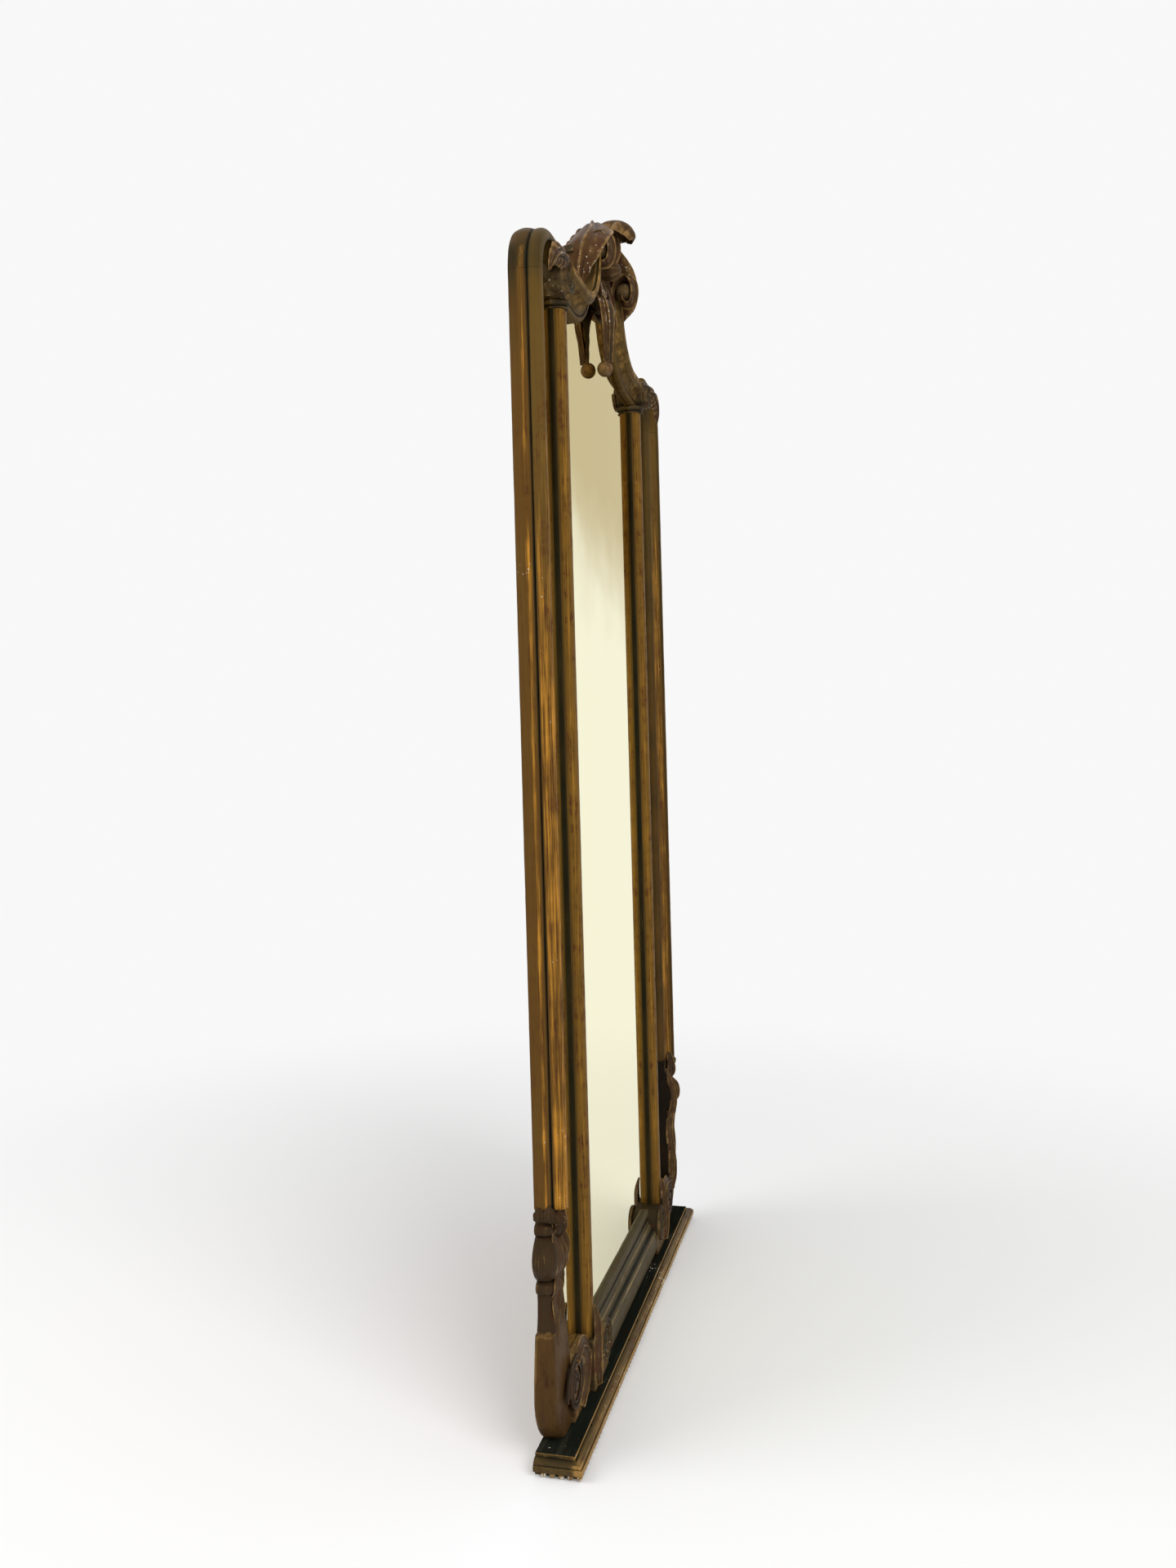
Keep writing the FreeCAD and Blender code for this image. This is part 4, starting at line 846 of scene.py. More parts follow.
# Strands beside the leaf: start and length in shares of the leg's height, and the side they sway to first
LEG_STRANDS = {"left": ((0.46, 0.48, 1), (0.48, 0.42, -1)), "right": ((0.2, 0.74, 1), (0.14, 0.76, -1))}
carved_values = {
    "Toned": (0.042, 0.023, 0.011, 1),
    "Leaf": (0.082, 0.046, 0.018, 1),
    "Crest": (0.24, 0.14, 0.05, 1),
    "Bole": (0.06, 0.022, 0.011, 1),
    "Grime And Shade": (0.009, 0.0075, 0.005, 1),
    "Rub And Highlight": 0.12,
    "Dirt And Shade": 0.2,
    "Bole Show": 0.5,
    "Loss": 0.1,
    "Shine": 0.12,
}
carved_finish = new_finish("carved_gilding", GILDING_GROUP, carved_values, sheen=0.05)
for name, side in SIDES:
    leaf_rows = []
    for up, inward, width, relief in LEAF_DROP:
        level = LEAF_BASE + LEG_SPAN * up
        place = (side * (HALF_FRAME - STILE_WIDTH * inward), leaf_ground(name, level), level)
        height = LEAF_HEIGHT * relief * LEG_RELIEF[name]
        leaf_rows.append((*place, LEAF_WIDTH * width, height, height / 2))
    shape = carve_leaf(leaf_rows, (1, 0, 0), 6, 0.42, 0.36, 0.2, 8, flat_rear=True)
    dress(make_piece(f"leaf_drop_piece_{name}", shape), carved_finish, "carved_wood", f"leaf_drop_{name}")
    strands = []
    for start, length, sway in LEG_STRANDS[name]:
        strand_rows = []
        for part in np.linspace(0, 1, 9):
            bend = sway * math.sin(part * 9.5)
            x = side * (HALF_FRAME - STILE_WIDTH * (0.66 + 0.2 * bend))
            z = LEAF_BASE + LEG_SPAN * (start + length * part)
            width = STRAND_WIDTH * math.sin(math.pi * (0.08 + 0.88 * part)) + STRAND_TIP
            relief = LEG_RELIEF[name] * min(1, 0.2 + 5 * part, 0.2 + 5 * (1 - part))
            body = (STRAND_THICKNESS * relief, STRAND_CUP * relief)
            strand_rows.append((x, leaf_ground(name, z), z, width, *body))
        strands.append(carve_leaf(strand_rows, (1, 0, 0), 5, 0.45, 0.4, 0.2, 6, flat_rear=True))
    dress(make_piece(f"leg_strands_{name}", join(*strands)), carved_finish, "carved_wood")

# Foot volutes: spiral bands carved with a hollow between two rims, beside each foot.
# The rims carry a painted highlight and the hollows painted shade.
# Shares of the band's half width and of its rise
BAND_SECTION = [
    (-1, 0), (-0.97, 0.55), (-0.88, 0.9), (-0.74, 1), (-0.6, 0.9), (-0.4, 0.62), (-0.15, 0.47),
    (0.15, 0.47), (0.4, 0.62), (0.6, 0.9), (0.74, 1), (0.88, 0.9), (0.97, 0.55), (1, 0),
]


def spiral_band(centre, radius, rise, side, start, turns=1.5, steps=110):
    """A band that winds in to its eye, hollow along its middle, on the ground at centre."""
    sections = []
    for step in range(steps + 1):
        part = step / steps
        turn = start + 2 * math.pi * turns * part
        half = radius * 0.18 * (1 - 0.5 * part)
        height = rise * (1 - 0.25 * part)
        reach = radius * 0.82 * (1 - part) + radius * 0.24 * part
        out_x = math.cos(turn) * side
        out_z = math.sin(turn)
        ring = []
        for share, up in BAND_SECTION:
            far = reach + half * share
            ring.append((centre[0] + out_x * far, centre[1] - height * up, centre[2] + out_z * far))
        sections.append(ring)
    eye = []
    for turn in np.linspace(0, math.pi / 2, 7):
        ring = radius * 0.2 * max(math.cos(turn), 0.03)
        level = centre[1] - rise * 0.85 * math.sin(turn)
        angles = full_turn(18)
        eye.append([(centre[0] + ring * math.cos(a), level, centre[2] + ring * math.sin(a)) for a in angles])
    return join(skin(sections), skin(eye))


VOLUTE_RADIUS = 0.047
VOLUTE_RISE = 0.004
VOLUTE_AXIS = HALF_FRAME - 0.058
VOLUTE_LEVEL = FOOT_LOW.z + 0.049
volute_values = {
    **carved_values,
    "Toned": (0.03, 0.018, 0.0095, 1),
    "Leaf": (0.058, 0.034, 0.016, 1),
    "Crest": (0.2, 0.13, 0.062, 1),
    "Rub And Highlight": 0.1,
    "Dirt And Shade": 0.3,
}
volute_finish = new_finish("volute_gilding", GILDING_GROUP, volute_values, sheen=0.05)


def volute_ridge(place, found):
    """Painted highlight on the rims, painted shade in the hollow and at the ground."""
    height = (LEG_FRONT - place.y) / VOLUTE_RISE
    return 0.55 if height > 0.68 else -0.7


for name, side in SIDES:
    shape = spiral_band((side * VOLUTE_AXIS, LEG_FRONT, VOLUTE_LEVEL), VOLUTE_RADIUS, VOLUTE_RISE, side, 0)
    volute = make_piece(f"foot_volute_piece_{name}", shape, 0, 0.0001, None, volute_ridge)
    dress(volute, volute_finish, "carved_wood", f"foot_volute_{name}")

# Corner blocks: the lower corners of the frame, behind the volutes, with two leaves carved on the face.
# They are limewood, toned dark between the carved forms.
BLOCK_LOW, BLOCK_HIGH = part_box("corner_block_right")
RAIL_LOW, RAIL_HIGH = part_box("bottom_rail")
GLASS_BOTTOM = BLOCK_HIGH.z - REBATE
INNER_FOOT_LOW, INNER_FOOT_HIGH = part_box("inner_foot_right")
# A hair's breadth, so that neighbouring faces don't lie in one plane
HAIR = 0.0003
BLOCK_INNER = INNER_FOOT_HIGH.x + HAIR


def slab(low, high):
    """A plain block between two corners, as a skin."""
    ring = [(low[0], low[1]), (high[0], low[1]), (high[0], high[1]), (low[0], high[1])]
    return skin([[(x, y, level) for x, y in ring] for level in np.linspace(low[2], high[2], 5)])


BLOCK_LEAF_BODY = (0.0045, 0.002)
# Paths of the two leaves on each block: places across and up, and the leaf's width
BLOCK_LEAVES = [
    [
        (0.352, 0.104, 0.014),
        (0.325, 0.112, 0.026),
        (0.3, 0.1, 0.03),
        (0.286, 0.075, 0.026),
        (0.284, 0.05, 0.008),
    ],
    [
        (0.33, 0.032, 0.01),
        (0.312, 0.04, 0.022),
        (0.296, 0.055, 0.024),
        (0.288, 0.075, 0.016),
        (0.285, 0.09, 0.004),
    ],
]
for name, side in SIDES:
    face = slab((BLOCK_INNER, LEG_FRONT, BLOCK_LOW.z), (SIGHT, GLASS_FRONT, BLOCK_HIGH.z))
    rear = slab((BLOCK_LOW.x, GLASS_FRONT, BLOCK_LOW.z), (REBATE_WALL, BACK, GLASS_BOTTOM))
    points, faces = join(face, rear)
    points = [(side * x, y, z) for x, y, z in points]
    block = make_piece(f"corner_block_piece_{name}", (points, faces), 0.0015, 0.0004)
    dress(block, carved_finish, "carved_wood", f"corner_block_{name}")
    leaves = []
    for path in BLOCK_LEAVES:
        leaf_rows = [(side * x, LEG_FRONT + HAIR, z, width, *BLOCK_LEAF_BODY) for x, z, width in path]
        leaves.append(carve_leaf(leaf_rows, (0.3, 0, side), 2, 0.14, 0.3, 0.4, 9, flat_rear=True))
    dress(make_piece(f"corner_leaves_{name}", join(*leaves)), carved_finish, "carved_wood")

# Bottom rail: a moulded rail between the inner stile feet, planed in one length.
# Its bands are toned grey-olive, with painted highlights along the arrises.
RAIL_PROJECTION = 0.023
RAIL_HEIGHT = BLOCK_HIGH.z - RAIL_LOW.z
# Shares of the projection before the glass and of the height, then the bow to the next corner
RAIL_SECTION = [
    (0.78, 0),
    (0.78, 0.05),
    (1, 0.15, 0.03),
    (0.85, 0.53),
    (0.74, 0.56, -0.05),
    (0.3, 0.89, 0.03),
    (0.17, 1),
]
rail_corners = []
for out, up, *bow in RAIL_SECTION:
    place = (GLASS_FRONT - RAIL_PROJECTION * out, RAIL_LOW.z + RAIL_HEIGHT * up)
    rail_corners.append((*place, *[RAIL_HEIGHT * rise for rise in bow]))
rail_corners += [(GLASS_FRONT, BLOCK_HIGH.z), (GLASS_FRONT, GLASS_BOTTOM)]
rail_corners += [(BACK, GLASS_BOTTOM), (BACK, RAIL_LOW.z)]
rail_section = outline(rail_corners, 16)
# Heights of the painted highlight lines and of the quirks with painted shade, in shares of the rail's height
RAIL_HIGHLIGHT_LINES = (0.13, 0.5, 0.66, 0.9)
RAIL_SHADED_QUIRKS = (0.04, 0.57, 0.8)


def rail_ridge(place, found):
    """Painted highlights along the arrises, painted shade in the quirks, dull between."""
    up = (place.z - RAIL_LOW.z) / RAIL_HEIGHT
    if min(abs(up - line) for line in RAIL_HIGHLIGHT_LINES) < 0.022:
        return 0.75
    return -0.95 if min(abs(up - quirk) for quirk in RAIL_SHADED_QUIRKS) < 0.035 else -0.15


rail_finish = new_finish("rail_gilding", GILDING_GROUP, {
    "Toned": (0.034, 0.026, 0.0135, 1),
    "Leaf": (0.09, 0.067, 0.03, 1),
    "Crest": (0.27, 0.19, 0.085, 1),
    "Grime And Shade": (0.01, 0.0095, 0.0065, 1),
    "Stretch": Vector((7, 330, 330)),
    "Rub And Highlight": 0.12,
    "Dirt And Shade": 0.2,
    "Bole Show": 0.2,
    "Loss": 0.0,
    "Shine": 0.06,
}, sheen=0.03)
rows = [[(x, y, z) for y, z in rail_section] for x in np.linspace(RAIL_LOW.x, RAIL_HIGH.x, 60)]
rail = make_piece("bottom_rail_piece", skin(rows), 0.0005, 0.0002, None, rail_ridge)
dress(rail, rail_finish, "worn_gilding", "bottom_rail")

# Inner stiles: slim mouldings that cover the joints between the centre plate and the border plates.
# Each is one broad gilded bead, with painted highlights along its flanks and painted shade where it meets
# the glass.
INNER_LOW, INNER_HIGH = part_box("inner_stile_right")
INNER_AXIS = (INNER_LOW.x + INNER_HIGH.x) / 2
INNER_HALF = 0.014
INNER_PROJECTION = 0.0195
GLASS_THICKNESS = 0.003
BOARD_FRONT = GLASS_FRONT + GLASS_THICKNESS
TONGUE_HALF = 0.002
# Shares of the half width and of the projection before the glass, then the bow
INNER_SECTION = [
    (1, 0),
    (1, 0.2, 0.06),
    (0.72, 0.8, 0.26),
    (-0.72, 0.8, 0.06),
    (-1, 0.2),
    (-1, 0),
]
inner_corners = []
for across, out, *bow in INNER_SECTION:
    place = (INNER_AXIS + INNER_HALF * across, GLASS_FRONT - INNER_PROJECTION * out)
    inner_corners.append((*place, *[INNER_HALF * rise for rise in bow]))
for across, depth in ((-1, GLASS_FRONT), (-1, BOARD_FRONT), (1, BOARD_FRONT), (1, GLASS_FRONT)):
    inner_corners.append((INNER_AXIS + TONGUE_HALF * across, depth))
inner_section = outline(inner_corners, 9)


def inner_tone(place):
    """Warm gold on the bead, browner towards the glass."""
    return 0.95 if place.y < GLASS_FRONT - INNER_PROJECTION * 0.35 else 0.3


def inner_ridge(place, found):
    """Painted highlights along both flanks of the bead, painted shade at the glass."""
    out = (GLASS_FRONT - place.y) / INNER_PROJECTION
    if out < 0.22:
        return -1
    return 0.6 - abs(out - 0.72) * 1.5


inner_finish = new_finish("inner_gilding", GILDING_GROUP, {
    "Toned": (0.06, 0.038, 0.012, 1),
    "Leaf": (0.15, 0.076, 0.0125, 1),
    "Crest": (0.42, 0.2, 0.027, 1),
    "Bole": (0.07, 0.025, 0.008, 1),
    "Grime And Shade": (0.0095, 0.01, 0.006, 1),
    "Stretch": Vector((420, 420, 11)),
    "Rub And Highlight": 0.08,
    "Dirt And Shade": 0.08,
    "Bole Show": 0.5,
    "Loss": 0.0,
    "Shine": 0.2,
}, sheen=0.05)
for name, side in SIDES:
    rows = []
    for level in np.linspace(INNER_LOW.z, INNER_HIGH.z, 130):
        rows.append([(side * x, y, level) for x, y in inner_section])
    stile = make_piece(f"inner_stile_piece_{name}", skin(rows), 0.0003, 0.0002, inner_tone, inner_ridge)
    dress(stile, inner_finish, "worn_gilding", f"inner_stile_{name}")

# Inner stile feet and their scrolls: blocks on the plinth where the bottom rail ends.
# A spiral with a hollow band lies over each block, and a leaf climbs from it to the stile.
dark_values = {
    **carved_values,
    "Toned": (0.022, 0.018, 0.01, 1),
    "Leaf": (0.05, 0.036, 0.017, 1),
    "Crest": (0.15, 0.095, 0.04, 1),
    "Rub And Highlight": 0.05,
}
dark_finish = new_finish("dark_carving", GILDING_GROUP, dark_values, sheen=0.05)
INNER_FOOT_ROUND = 0.026
# The climbing leaf: place across, stand behind the block's front, level, width and thickness
INNER_FOOT_LEAF = [
    (0.262, 0.0004, 0.03, 0.012, 0.005),
    (0.268, 0.0004, 0.055, 0.026, 0.007),
    (0.266, 0.0004, 0.085, 0.028, 0.007),
    (INNER_AXIS, 0.001, 0.118, 0.02, 0.006),
    (INNER_AXIS, 0.004, 0.142, 0.003, 0.002),
]
SCROLL_RADIUS = 0.033
SCROLL_RISE = 0.006
INNER_SCROLL_UP = 0.052
for name, side in SIDES:
    low = INNER_FOOT_LOW
    high = INNER_FOOT_HIGH
    ring = [(low.x, low.z), (high.x, low.z), (high.x, high.z)]
    round_centre = (low.x + INNER_FOOT_ROUND, high.z - INNER_FOOT_ROUND)
    ring += arc_points(round_centre, INNER_FOOT_ROUND, math.pi / 2, math.pi, 12)
    rows = [[(side * x, y, z) for x, z in ring] for y in np.linspace(high.y, low.y, 6)]
    block = make_piece(f"inner_foot_piece_{name}", skin(rows), 0.0014, 0.0003)
    dress(block, dark_finish, "carved_wood", f"inner_foot_{name}")
    centre = (side * round_centre[0], low.y, low.z + INNER_SCROLL_UP)
    scroll = spiral_band(centre, SCROLL_RADIUS, SCROLL_RISE, -side, -math.pi / 2)
    scroll_piece = make_piece(f"foot_scroll_piece_{name}", scroll)
    dress(scroll_piece, dark_finish, "carved_wood", f"foot_scroll_{name}")
    leaf_rows = []
    for x, back, z, width, thick in INNER_FOOT_LEAF:
        leaf_rows.append((side * x, low.y + back, z, width, thick, thick / 2))
    leaf = carve_leaf(leaf_rows, (1, 0, 0), 3, 0.18, 0.3, 0.3, 9, flat_rear=True)
    dress(make_piece(f"inner_foot_leaf_{name}", leaf), carved_finish, "carved_wood")

# Capitals: small turned rings, halved, at the tops of the inner stiles.
# They are toned as dark as the feet below them.
CAPITAL_LOW, CAPITAL_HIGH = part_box("inner_capital_right")
CAPITAL_HALF = 0.016
CAPITAL_REACH = 0.022
CAPITAL_RIM_SHARE = 0.86
# Shares of the half width and of the height, then the bow to the next corner
CAPITAL_SECTION = [
    (0.8, 0, -0.1),
    (0.8, 0.28),
    (0.66, 0.34),
    (CAPITAL_RIM_SHARE, 0.42, -0.14),
    (CAPITAL_RIM_SHARE, 1),
]
capital_height = CAPITAL_HIGH.z - CAPITAL_LOW.z
capital_edge = outline(CAPITAL_SECTION, 9)
for name, side in SIDES:
    rows = []
    for out, up in capital_edge:
        row = []
        for turn in np.linspace(0, math.pi, 25):
            x = side * INNER_AXIS + CAPITAL_HALF * out * math.cos(turn)
            y = GLASS_FRONT - CAPITAL_REACH * out / CAPITAL_RIM_SHARE * math.sin(turn)
            row.append((x, y, CAPITAL_LOW.z + capital_height * up))
        rows.append(row)
    capital = make_piece(f"capital_piece_{name}", skin(rows), 0.0003)
    dress(capital, dark_finish, "worn_gilding", f"inner_capital_{name}")

# Corner bosses and scrolls: round blocks that close the joint of shoulder and arch rail.
# Each carries a spiral, and a fluted leaf springs from it over the shoulder.
BOSS_LOW, BOSS_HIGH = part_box("corner_boss_right")
BOSS_GAIN = 0.0035
BOSS_ADVANCE = 0.0105
BOSS_RADIUS = (BOSS_HIGH.x - BOSS_LOW.x) / 2 + BOSS_GAIN
BOSS_FRONT = BOSS_LOW.y - BOSS_ADVANCE
MOULDING_LAP = 0.014
CORNER_SCROLL_RADIUS = 0.028
CORNER_SCROLL_SINK = 0.0005
BOSS_AXIS = (BOSS_HIGH.x + BOSS_LOW.x) / 2
BOSS_LEVEL = (BOSS_HIGH.z + BOSS_LOW.z) / 2
# Shares of the boss's depth from the back and of its radius
BOSS_EDGE = [
    (0, 1), (0.35, 1), (0.7, 1), (0.86, 0.985), (0.96, 0.94),
    (1, 0.86), (0.94, 0.6), (0.92, 0.3), (0.92, 0.03),
]
# The leaf over the shoulder: place, width and thickness
SHOULDER_LEAF = [
    (0.296, -0.0105, 1.606, 0.016, 0.006),
    (0.314, -0.0125, 1.607, 0.03, 0.009),
    (0.334, -0.0125, 1.604, 0.034, 0.009),
    (0.352, -0.0125, 1.596, 0.03, 0.008),
    (0.367, -0.0122, 1.582, 0.018, 0.006),
    (0.376, -0.0118, 1.566, 0.003, 0.002),
]


def leaf_path(table, side, cup_share=0.5):
    """Rows of a leaf on one side, from a table of places, widths and thicknesses."""
    return [(side * x, y, z, width, thick, thick * cup_share) for x, y, z, width, thick in table]


for name, side in SIDES:
    rows = []
    for out, spread in BOSS_EDGE:
        y = BOSS_HIGH.y + (BOSS_FRONT - BOSS_HIGH.y) * out
        reach = BOSS_RADIUS * spread
        row = []
        for turn in full_turn(40):
            row.append((side * BOSS_AXIS + reach * math.cos(turn), y, BOSS_LEVEL + reach * math.sin(turn)))
        rows.append(row)
    boss = make_piece(f"corner_boss_piece_{name}", skin(rows))
    dress(boss, dark_finish, "carved_wood", f"corner_boss_{name}")
    centre = (side * BOSS_AXIS, BOSS_FRONT + CORNER_SCROLL_SINK, BOSS_LEVEL)
    shape = spiral_band(centre, CORNER_SCROLL_RADIUS, SCROLL_RISE, side, math.pi)
    scroll = make_piece(f"corner_scroll_piece_{name}", shape)
    dress(scroll, dark_finish, "carved_wood", f"corner_scroll_{name}")
    leaf = carve_leaf(leaf_path(SHOULDER_LEAF, side), (-0.2, 0, -side), 6, 0.3, 0.6, 0.35, 10)
    dress(make_piece(f"shoulder_leaf_{name}", leaf), carved_finish, "carved_wood")

# Arch rails: mouldings that run in from the corner bosses and sweep up to the crest.
# The upper side is scooped over the whole depth, head board and all, to a hollow between two rims.
ARCH_AXIS = 1.59
ARCH_RADIUS = 0.11
ARCH_TURN = 0.196
ARCH_PROJECTION = 0.026
ARCH_STAND = {"left": 1.22, "right": 0.84}
ARCH_WIDTH = 0.04
ARCH_START = BOSS_LOW.x - HAIR
ARCH_END = ARCH_TURN - ARCH_RADIUS
ARCH_TIP = ARCH_AXIS + ARCH_RADIUS
REAR_SHARE = (GLASS_FRONT - BACK + HAIR) / ARCH_PROJECTION
# Shares of the projection in front of the glass and of the width from the axis, then the bow
ARCH_SECTION = [
    (0, -0.5),
    (0.28, -0.5, 0.05),
    (0.4, -0.28),
    (0.4, -0.24, -0.07),
    (0.94, 0.1),
    (1, 0.18, 0.04),
    (1.1, 0.42, 0.03),
    (1.08, 0.53),
    (0.99, 0.45, 0.03),
    (0.86, 0.51, -0.24),
    (REAR_SHARE + 0.1, 0.49, 0.03),
    (REAR_SHARE, 0.42),
    (REAR_SHARE, 0.1),
    (0, 0.1),
]
arch_corners = []
for out, across, *bow in ARCH_SECTION:
    arch_corners.append((ARCH_PROJECTION * out, ARCH_WIDTH * across, *[-ARCH_WIDTH * rise for rise in bow]))
arch_section = outline(arch_corners, 10)
arch_finish = new_finish("arch_gilding", GILDING_GROUP, {
    "Toned": (0.06, 0.036, 0.012, 1),
    "Leaf": (0.115, 0.07, 0.022, 1),
    "Crest": (0.32, 0.175, 0.045, 1),
    "Bole": (0.06, 0.027, 0.01, 1),
    "Grime And Shade": (0.011, 0.0095, 0.006, 1),
    "Rub And Highlight": 0.16,
    "Dirt And Shade": 0.22,
    "Bole Show": 0.4,
    "Loss": 0.05,
    "Shine": 0.04,
}, sheen=0.01)


def rail_depth(name, out):
    """Where a point of the section lies; in front of the glass each rail has its own stand."""
    return GLASS_FRONT - out * (ARCH_STAND[name] if out > 0 else 1)


def arch_ridge(place, found):
    """Painted highlights on the face and the rims, painted shade in the groove and between the rims, dull in
    the scoop.
    """
    x = abs(place.x)
    if x > ARCH_TURN:
        across = (place.z - ARCH_AXIS) / ARCH_WIDTH
    else:
        across = (ARCH_RADIUS - math.hypot(ARCH_TURN - x, ARCH_TIP - place.z)) / ARCH_WIDTH
    out = (GLASS_FRONT - place.y) / ARCH_PROJECTION / ARCH_STAND["right" if place.x > 0 else "left"]
    if out > 0.94 and across > 0.3:
        return -0.8 if out < 1.03 else 0.6
    if out > 0.3 and across < 0.2:
        return -0.9 if -0.33 < across < -0.22 else 0.6 - abs(across + 0.02) * 2
    return 0.3 if 0.8 < out < 0.94 else -0.1


for name, side in SIDES:
    rows = []
    for x in np.linspace(ARCH_START + MOULDING_LAP, ARCH_TURN, 12):
        rows.append([(side * x, rail_depth(name, out), ARCH_AXIS + across) for out, across in arch_section])
    for turn in np.linspace(0, math.pi / 2, 40)[1:]:
        row = []
        for out, across in arch_section:
            reach = ARCH_RADIUS - across
            x = ARCH_TURN - reach * math.sin(turn)
            row.append((side * x, rail_depth(name, out), ARCH_TIP - reach * math.cos(turn)))
        rows.append(row)
    rail = make_piece(f"arch_rail_piece_{name}", skin(rows), 0.0005, 0.00025, None, arch_ridge)
    dress(rail, arch_finish, "worn_gilding", f"arch_rail_{name}")

# Crest: C-scrolls, a bud, a plume that nods forward, rolled side leaves and a pendant, all limewood.
# They are glued to the head board; the undercut parts are dark and the high parts show gesso.
CREST_AXIS = 1.69
GROUND = GLASS_FRONT - HAIR
C_SCROLL_RADIUS = 0.026
C_SCROLL_DEPTH = 0.024
C_SCROLL_THICKNESS = 0.01
C_SCROLL_OUT = 0.033
C_SCROLL_TURN = math.pi * 0.64
# Shares of the scroll's half depth, and of its half thickness outwards
SCROLL_SECTION = [
    (-1, 1), (-0.86, 1.06), (-0.6, 0.62), (-0.25, 0.3), (0.25, 0.3), (0.6, 0.62), (0.86, 1.06), (1, 1),
]
crest_values = {**carved_values, "Leaf": (0.074, 0.04, 0.016, 1), "Loss": 0.16}
crest_finish = new_finish("crest_gilding", GILDING_GROUP, crest_values, sheen=0.05)
scroll_values = {**crest_values, "Crest": (0.17, 0.1, 0.038, 1), "Rub And Highlight": -0.12}
scroll_finish = new_finish("crest_scroll_gilding", GILDING_GROUP, scroll_values, sheen=0.05)
for name, side in SIDES:
    sections = []
    for step in range(81):
        along = step / 40 - 1
        turn = C_SCROLL_TURN * along - math.pi / 2
        curl = abs(along) ** 3
        radius = C_SCROLL_RADIUS * (1 - 0.42 * curl)
        depth = C_SCROLL_DEPTH * (1 - 0.45 * curl)
        thick = C_SCROLL_THICKNESS * (1 - 0.45 * curl)
        ring = []
        for share, up in SCROLL_SECTION:
            ring.append((GROUND - depth / 2 + depth / 2 * share, radius + thick / 2 * up))
        inner = radius - thick / 2
        ring += [(GROUND, inner), (GROUND - depth * 0.5, radius - thick * 0.62), (GROUND - depth, inner)]
        section = []
        for y, reach in ring:
            x = side * (C_SCROLL_OUT + reach * math.cos(turn))
            section.append((x, y, CREST_AXIS + reach * math.sin(turn)))
        sections.append(section)
    scroll = make_piece(f"crest_c_scroll_piece_{name}", skin(sections), 0.0006)
    dress(scroll, scroll_finish, "carved_wood", f"crest_c_scroll_{name}")

BUD_LEVEL = CREST_AXIS + 0.022
BUD_RADIUS = 0.016
BUD_REACH = 0.045
# Shares of the bud's reach and of its radius
BUD_ROWS = [
    (0, 0.8), (0.25, 0.84), (0.4, 0.88), (0.55, 1), (0.68, 1),
    (0.8, 0.86), (0.9, 0.64), (0.97, 0.36), (1, 0.05),
]
sections = []
for out, spread in smooth_rows(BUD_ROWS, 5):
    ring = []
    for turn in full_turn(72):
        lobe = 1 - 0.16 * abs(math.sin(4 * turn)) * min(1, out * 2)
        reach = BUD_RADIUS * spread * lobe
        ring.append((reach * math.cos(turn), GROUND - BUD_REACH * out, BUD_LEVEL + reach * math.sin(turn)))
    sections.append(ring)
bud = make_piece("crest_bud", skin(sections))
dress(bud, scroll_finish, "carved_wood", "crest_cartouche")

PLUME_REACH = 0.063
PLUME_BASE = CREST_AXIS + 0.043
PLUME_RISE = 0.034
PLUME_WIDTH = 0.07
PLUME_THICKNESS = 0.016
# Shares of the plume's reach, rise, width and thickness, and its cup in thicknesses
PLUME_ROWS = [
    (0, 0, 0.5, 0.8, 0.6),
    (0.033, 0.44, 0.74, 0.95, 0.45),
    (0.16, 0.8, 0.92, 1.05, -0.2),
    (0.31, 0.97, 1, 1.1, -0.8),
    (0.53, 1, 0.9, 1.1, -1.05),
    (0.74, 0.91, 0.72, 1, -1.1),
    (0.9, 0.74, 0.5, 0.85, -0.95),
    (1, 0.59, 0.22, 0.6, -0.8),
]
leaf_rows = []
for out, up, width, thick, cup in PLUME_ROWS:
    place = (0, GROUND - PLUME_REACH * out, PLUME_BASE + PLUME_RISE * up)
    thickness = PLUME_THICKNESS * thick
    leaf_rows.append((*place, PLUME_WIDTH * width, thickness * 0.8, thickness * cup))
plume = make_piece("crest_plume_piece", carve_leaf(leaf_rows, (1, 0, 0), 5, 0.24, 0.34, -0.14, 10))
dress(plume, crest_finish, "carved_wood", "crest_plume")

SIDE_LEAF_HEIGHT = 0.033
SIDE_LEAF_REACH = 0.046
SIDE_LEAF_WIDTH = 0.036
SIDE_LEAF_THICKNESS = 0.0135
SIDE_LEAF_CUP = 0.001
EYE_RADIUS = 0.015
EYE_OUT_SHARE = 0.68
EYE_UP_SHARE = 0.3
